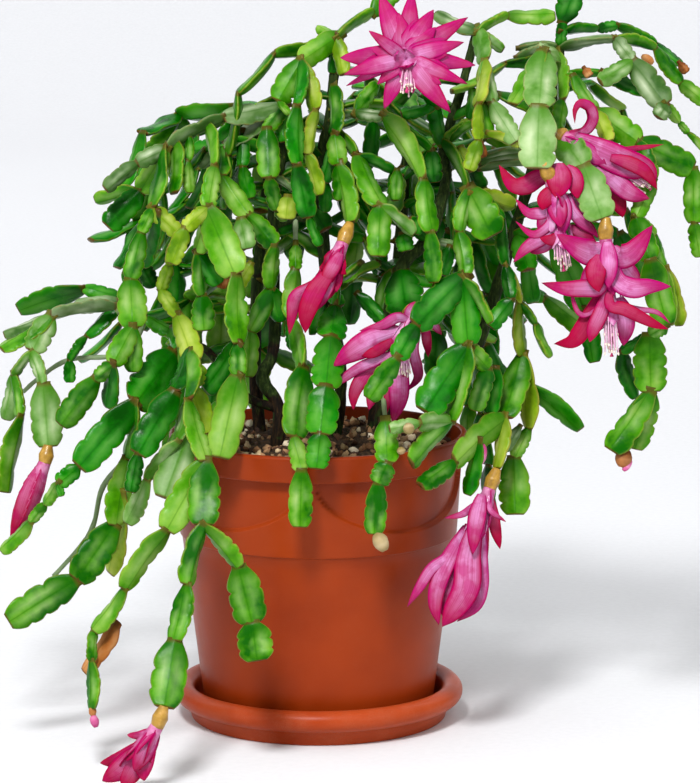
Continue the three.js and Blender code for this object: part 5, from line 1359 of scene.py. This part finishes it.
def petal_part(spine, side, half, lot, rng, shown=PETAL_SHOWN, cupped=(0.1, 0.32), number=0,
               profile=PETAL_WIDTH):
    """One thin petal: narrow at the tube, widest near the middle, drawn to a point. It turns from
    its place round the tube towards the viewer."""
    ways = np.gradient(spine, axis=0)
    ways = ways / np.linalg.norm(ways, axis=1, keepdims=True)
    share = np.linspace(0, 1, PETAL_RINGS)
    reach = np.interp(share, PETAL_ALONG, profile) * half
    sides = []
    last = side
    for way, turned_by in zip(ways, np.interp(share, [0, 0.6], shown)):
        open_side = np.cross(way, VIEWER_WAY)
        open_side = unit(open_side if np.dot(open_side, last) > 0 else -open_side)
        last = open_side * turned_by + last * (1 - turned_by)
        last = unit(last - way * np.dot(last, way))
        sides.append(last)
    sides = np.array(sides)
    normals = np.cross(sides, ways)
    loop = np.concatenate([PETAL_ACROSS, PETAL_ACROSS[-2:0:-1]])
    face = np.concatenate([np.ones(len(PETAL_ACROSS)), -np.ones(len(PETAL_ACROSS) - 2)])
    thick = PETAL_THICK / 2 * np.sqrt(1 - loop ** 4) * face
    thick[np.abs(loop) == 1] = 0
    cup = rng.uniform(*cupped) * (1 - 0.7 * share)
    ruffle = rng.uniform(0.3, 1.0) * MM * share
    ruffle = ruffle * np.sin(2 * math.pi * (share * rng.uniform(1, 2.2) + rng.random()))
    lift = thick + (cup * reach)[:, None] * loop ** 2 + ruffle[:, None] * loop * np.abs(loop)
    sections = spine[:, None, :] + (reach[:, None] * loop)[..., None] * sides[:, None, :]
    sections = sections + lift[..., None] * normals[:, None, :]
    points, quads, triangles = skin(sections, spine[0], spine[-1])
    marks = np.stack([np.append(np.tile(loop, PETAL_RINGS), [0, 0]),
                      np.append(np.repeat(share, len(loop)), [0, 1]), np.full(len(points), lot)], -1)
    return points, quads, triangles, number, marks


def tip_of_all(bloom):
    """The place of the petal that reaches furthest from the tube."""
    mouth = sighted(bloom["throat"])
    tips = [sighted(petal[1:4]) for petal in bloom["petals"]]
    return max(tips, key=lambda tip: np.linalg.norm(tip - mouth))


def spindle_part(start, end, lot):
    """A bud still furled: petals wound over each other, each with a free edge along the bud."""
    share = np.linspace(0, 1, SPINDLE_RINGS)
    radii = np.interp(share, SPINDLE_ALONG, SPINDLE_RADII) * MM
    line = start + (end - start) * share[:, None]
    points, quads, triangles = rod(line, radii, SPINDLE_SIDES)
    turn = np.arange(SPINDLE_SIDES) / SPINDLE_SIDES * SPINDLE_PETALS
    lap = (turn[None, :] + 0.7 * share[:, None]) % 1
    outward = points[:-2].reshape(SPINDLE_RINGS, SPINDLE_SIDES, 3) - line[:, None, :]
    points[:-2] += (outward * (0.16 * lap[..., None] ** 2 - 0.05)).reshape(-1, 3)
    marks = np.full((len(points), 3), lot)
    marks[:-2, 0] = (lap * 1.9 - 0.9).ravel()
    marks[:, 1] = np.append(np.repeat(share, SPINDLE_SIDES), [0, 1])
    return points, quads, triangles, 0, marks


def tube_part(line, radii, number):
    """A smooth round stretch of a bloom."""
    smooth = smooth_line(line, 7)
    spread = np.interp(np.linspace(0, 1, len(smooth)), np.linspace(0, 1, len(radii)), radii)
    return plain(rod(smooth, spread, TUBE_SIDES), number)


def bloom_parts(bloom, rng):
    """Ovary, tube, petals, stamens and style of one bloom."""
    root, waist, mouth = (sighted(bloom[part]) for part in ("base", "neck", "throat"))
    belly = root + (waist - root) * 0.55
    middle = (waist + mouth) / 2
    parts = [tube_part([root, belly, waist], TUBE_RADII[:3], OVARY),
             tube_part([waist - (waist - belly) * 0.2, middle, mouth], TUBE_RADII[2:], TUBE)]
    axis = mouth - waist
    heading = unit(axis)
    fullness = PETAL_FULLNESS[bloom.get("closed", 0)] / 2 * MM
    petals = [] if "spindle" in bloom else bloom.get("petals", [])
    for share, across, up, out, width in petals:
        start = waist + axis * share * 0.9
        tip = sighted([across, up, out])
        chord = tip - start
        start = start + unit(chord - heading * np.dot(chord, heading)) * PETAL_ROOT
        chord = tip - start
        bend = start + heading * PETAL_BEND * np.linalg.norm(chord)
        side = np.cross(chord, chord - heading * np.dot(chord, heading))
        if np.linalg.norm(side) < 1 * MM * MM:
            side = np.cross(heading, VIEWER_WAY)
        lot = 0.7 * bloom["redness"] + 0.3 * rng.random()
        parts.append(petal_part(bezier(start, bend, tip), unit(side), fullness * width, lot, rng))
    if "spindle" in bloom:
        parts.append(spindle_part(waist, tip_of_all(bloom), bloom["redness"]))
        return parts
    for width, red, *places in bloom.get("curls", []):
        line = smooth_line([sighted(place) for place in places], 8)
        steps = np.linspace(0, len(line) - 1, PETAL_RINGS)
        spine = np.stack([np.interp(steps, np.arange(len(line)), line[:, i]) for i in range(3)], -1)
        shown = CURL_SHOWN if width > CURL_THIN else (0, 0.2)
        side = unit(np.cross(heading, VIEWER_WAY))
        lot = 0.85 * red + 0.15 * rng.random()
        parts.append(petal_part(spine, side, PETAL_FULLNESS[0] / 2 * width * MM, lot, rng, shown,
                                profile=CURL_WIDTH))
    # On a wide-open bloom, a second, shorter tier lies over the gaps between the petals.
    rim = [petal for petal in petals if petal[0] >= 0.8]
    if len(rim) > 8:
        for one, other in zip(rim, rim[1:]):
            between = (sighted(one[1:4]) + sighted(other[1:4])) / 2
            tip = mouth + (between - mouth) * INNER_TIER + heading * 5 * MM
            out = tip - mouth
            side = unit(np.cross(out, out - heading * np.dot(out, heading)))
            bend = mouth + heading * 0.4 * np.linalg.norm(out)
            half = fullness * (one[4] + other[4]) / 2
            parts.append(petal_part(bezier(mouth, bend, tip), side, half, 0.3 * rng.random(), rng))
    # The tube is lapped by scale-like petals, many of them paler than the rest.
    aside = unit(np.cross(heading, [0.3, 1, 0.2]))
    third = np.cross(heading, aside)
    for i in range(bloom.get("scales", SCALES)):
        turn = 2.4 * i + rng.uniform(-0.3, 0.3)
        out = aside * math.cos(turn) + third * math.sin(turn)
        foot = waist + axis * 0.06 * i + out * 1.8 * MM
        tip = foot + heading * rng.uniform(18, 26) * MM + out * rng.uniform(2.4, 4.4) * MM
        bend = foot + heading * 9 * MM + out * 3.6 * MM
        lot = 0.6 * bloom["redness"] + 0.2 * rng.random()
        kind = LILAC if bloom["redness"] < 0.65 and i % 3 else 0
        parts.append(petal_part(bezier(foot, bend, tip), np.cross(heading, out), 5.4 * MM, lot, rng, (0, 0),
                                (-0.5, -0.3), kind))
    if "stamens" in bloom:
        tip = sighted(bloom["stamens"])
        style = tip - mouth
        for i in range(CORONA if len(rim) < 9 else 0):
            turn = 2.4 * i
            out = aside * math.cos(turn) + third * math.sin(turn)
            end = mouth + style * rng.uniform(0.42, 0.62) + out * rng.uniform(3.4, 5) * MM
            bend = mouth + style * 0.3 + out * 2.6 * MM
            spine = bezier(mouth + out * 1.5 * MM, bend, end)
            parts.append(petal_part(spine, np.cross(heading, out), 3.4 * MM, 0, rng, (0, 0),
                                    (-0.6, -0.4), LILAC))
        parts += stamen_parts(waist + axis * 0.7, tip, rng)
    return parts


def stamen_parts(root, tip, rng):
    """A bundle of filaments with a grain of pollen sac each, and the style with its stigma."""
    axis = tip - root
    length = np.linalg.norm(axis)
    aside = unit(np.cross(axis, [0.3, 1, 0.2]))
    third = unit(np.cross(axis, aside))
    parts = []
    for i in range(STAMENS):
        turn = 2.4 * i
        spread = 2.8 * MM * math.sqrt((i + 0.5) / STAMENS)
        off = aside * math.cos(turn) * spread + third * math.sin(turn) * spread
        end = root + axis * rng.uniform(0.74, 0.97) + off * rng.uniform(1, 1.7)
        line = smooth_line([root + off * 0.4, (root + end) / 2 + off * 0.3, end], 4)
        parts.append(plain(rod(line, np.full(len(line), FILAMENT), 6), WHITE))
        sac = unit(end - root) * 0.9 * MM
        line = np.array([end - sac, end - sac * 0.4, end + sac * 0.4, end + sac])
        parts.append(plain(rod(line, np.array([0.25, 0.5, 0.5, 0.2]) * MM, 8), POLLEN))
    line = smooth_line([root, (root + tip) / 2 + aside * 0.02 * length, tip], 6)
    parts.append(plain(rod(line, np.full(len(line), 0.5 * MM), 8), STYLE))
    knob = unit(axis) * 1.4 * MM
    line = np.array([tip - knob, tip - knob * 0.3, tip - knob * 0.05, tip])
    parts.append(plain(rod(line, np.array([0.5, 1.1, 1.0, 0.3]) * MM, 10), STYLE))
    return parts


for order, (name, bloom) in enumerate(BLOOMS.items()):
    flower = assemble(name + "_petals", bloom_parts(bloom, np.random.default_rng(500 + order)), bloom_skins)
    stand_for(flower, name)


# ---- Studio ----
# A plain pale sweep of seamless paper, which isn't part of the object. It lies flat as the floor
# and is rounded up into a wall far behind.
SWEEP_HALF = 4.0
SWEEP_FRONT = -4.0
SWEEP_BACK = 3.0
SWEEP_BEND = 1.2
SWEEP_TOP = 4.0


def studio_paper():
    """Seamless matt paper."""
    material, tree = new_material("seamless_paper")
    place = add(tree, "TexCoord").outputs["Object"]
    fibre = add(tree, "TexNoise", {"Scale": 1 / (4 * MM), "Detail": 3}, {"Vector": place})
    colour = add(tree, "ValToRGB", links={"Fac": fibre}, stops=[(0.3, "#dddee1"), (0.7, "#e1e2e5")])
    finish_material(tree, {"Roughness": 0.9, "IOR": 1.4, "Specular IOR Level": 0.1},
                    {"Base Color": colour})
    return material


sweep_line = [(SWEEP_FRONT, 0.0)]
for angle in np.linspace(0, math.pi / 2, 16):
    sweep_line.append((SWEEP_BACK + SWEEP_BEND * math.sin(angle), SWEEP_BEND * (1 - math.cos(angle))))
sweep_line.append((SWEEP_BACK + SWEEP_BEND, SWEEP_TOP))
sweep_points = [(x, y, z) for y, z in sweep_line for x in (-SWEEP_HALF, SWEEP_HALF)]
sweep_faces = [(2 * i, 2 * i + 1, 2 * i + 3, 2 * i + 2) for i in range(len(sweep_line) - 1)]
sweep_mesh = bpy.data.meshes.new("studio_sweep")
sweep_mesh.from_pydata(sweep_points, [], sweep_faces)
sweep_mesh.shade_smooth()
sweep_mesh.materials.append(studio_paper())
sweep = bpy.data.objects.new("studio_sweep", sweep_mesh)
bpy.context.scene.collection.objects.link(sweep)


# ---- Light and camera ----
# One soft key above and in front, a wide fill on either side, two lamps for the paper and a bright
# surround. The camera stands two metres off, a little above the plant, and looks slightly down.
def softbox(name, place, aim, size, power):
    """A square area light that faces a point."""
    lamp = bpy.data.lights.new(name, "AREA")
    lamp.energy = power
    lamp.size = size
    box = bpy.data.objects.new(name, lamp)
    box.location = place
    way = np.array(aim) - np.array(place)
    flat = math.hypot(way[0], way[1])
    box.rotation_euler = (math.atan2(flat, -way[2]), 0, math.atan2(-way[0], way[1]))
    bpy.context.scene.collection.objects.link(box)


softbox("key_light", (-0.3, -1.45, 1.8), (0, 0, 0.15), 0.42, 46)
softbox("fill_light", (1.5, -1.5, 0.8), (0, 0, 0.2), 1.0, 7)
softbox("left_light", (-1.6, -1.1, 0.6), (0, 0, 0.12), 0.9, 7)
softbox("paper_light_left", (-2.2, 1.6, 2.2), (-0.4, 4.2, 1.3), 1.2, 41)
softbox("paper_light_right", (2.2, 1.6, 2.2), (0.4, 4.2, 1.3), 1.2, 41)

world = bpy.data.worlds.new("studio_surround")
bpy.context.scene.world = world
world.use_nodes = True
world.node_tree.nodes.clear()
# The room is dim at eye level and bright overhead, as under a large window or ceiling light.
room = world.node_tree
height = add(room, "SeparateXYZ", links={0: add(room, "TexCoord").outputs["Generated"]})
glow = add(room, "ValToRGB", links={"Fac": height.outputs[2]}, stops=[(0.0, 0.16), (0.35, 0.3), (0.9, 1.0)])
surround = add(room, "Background", {"Strength": 0.95}, {"Color": glow})
add(room, "OutputWorld", links={"Surface": surround})

CAMERA_LENS = 174.16
CAMERA_PITCH = 9.67  # degrees below level
camera = bpy.data.cameras.new("camera")
camera.lens = CAMERA_LENS
camera.sensor_width = 36
camera.clip_end = 20
eye = bpy.data.objects.new("camera", camera)
eye.location = (EYE_ACROSS * MM, -EYE_DISTANCE * MM, EYE_UP * MM)
eye.rotation_euler = (math.radians(90 - CAMERA_PITCH), 0, 0)
bpy.context.scene.collection.objects.link(eye)
bpy.context.scene.camera = eye
bpy.context.scene.view_settings.view_transform = "Standard"
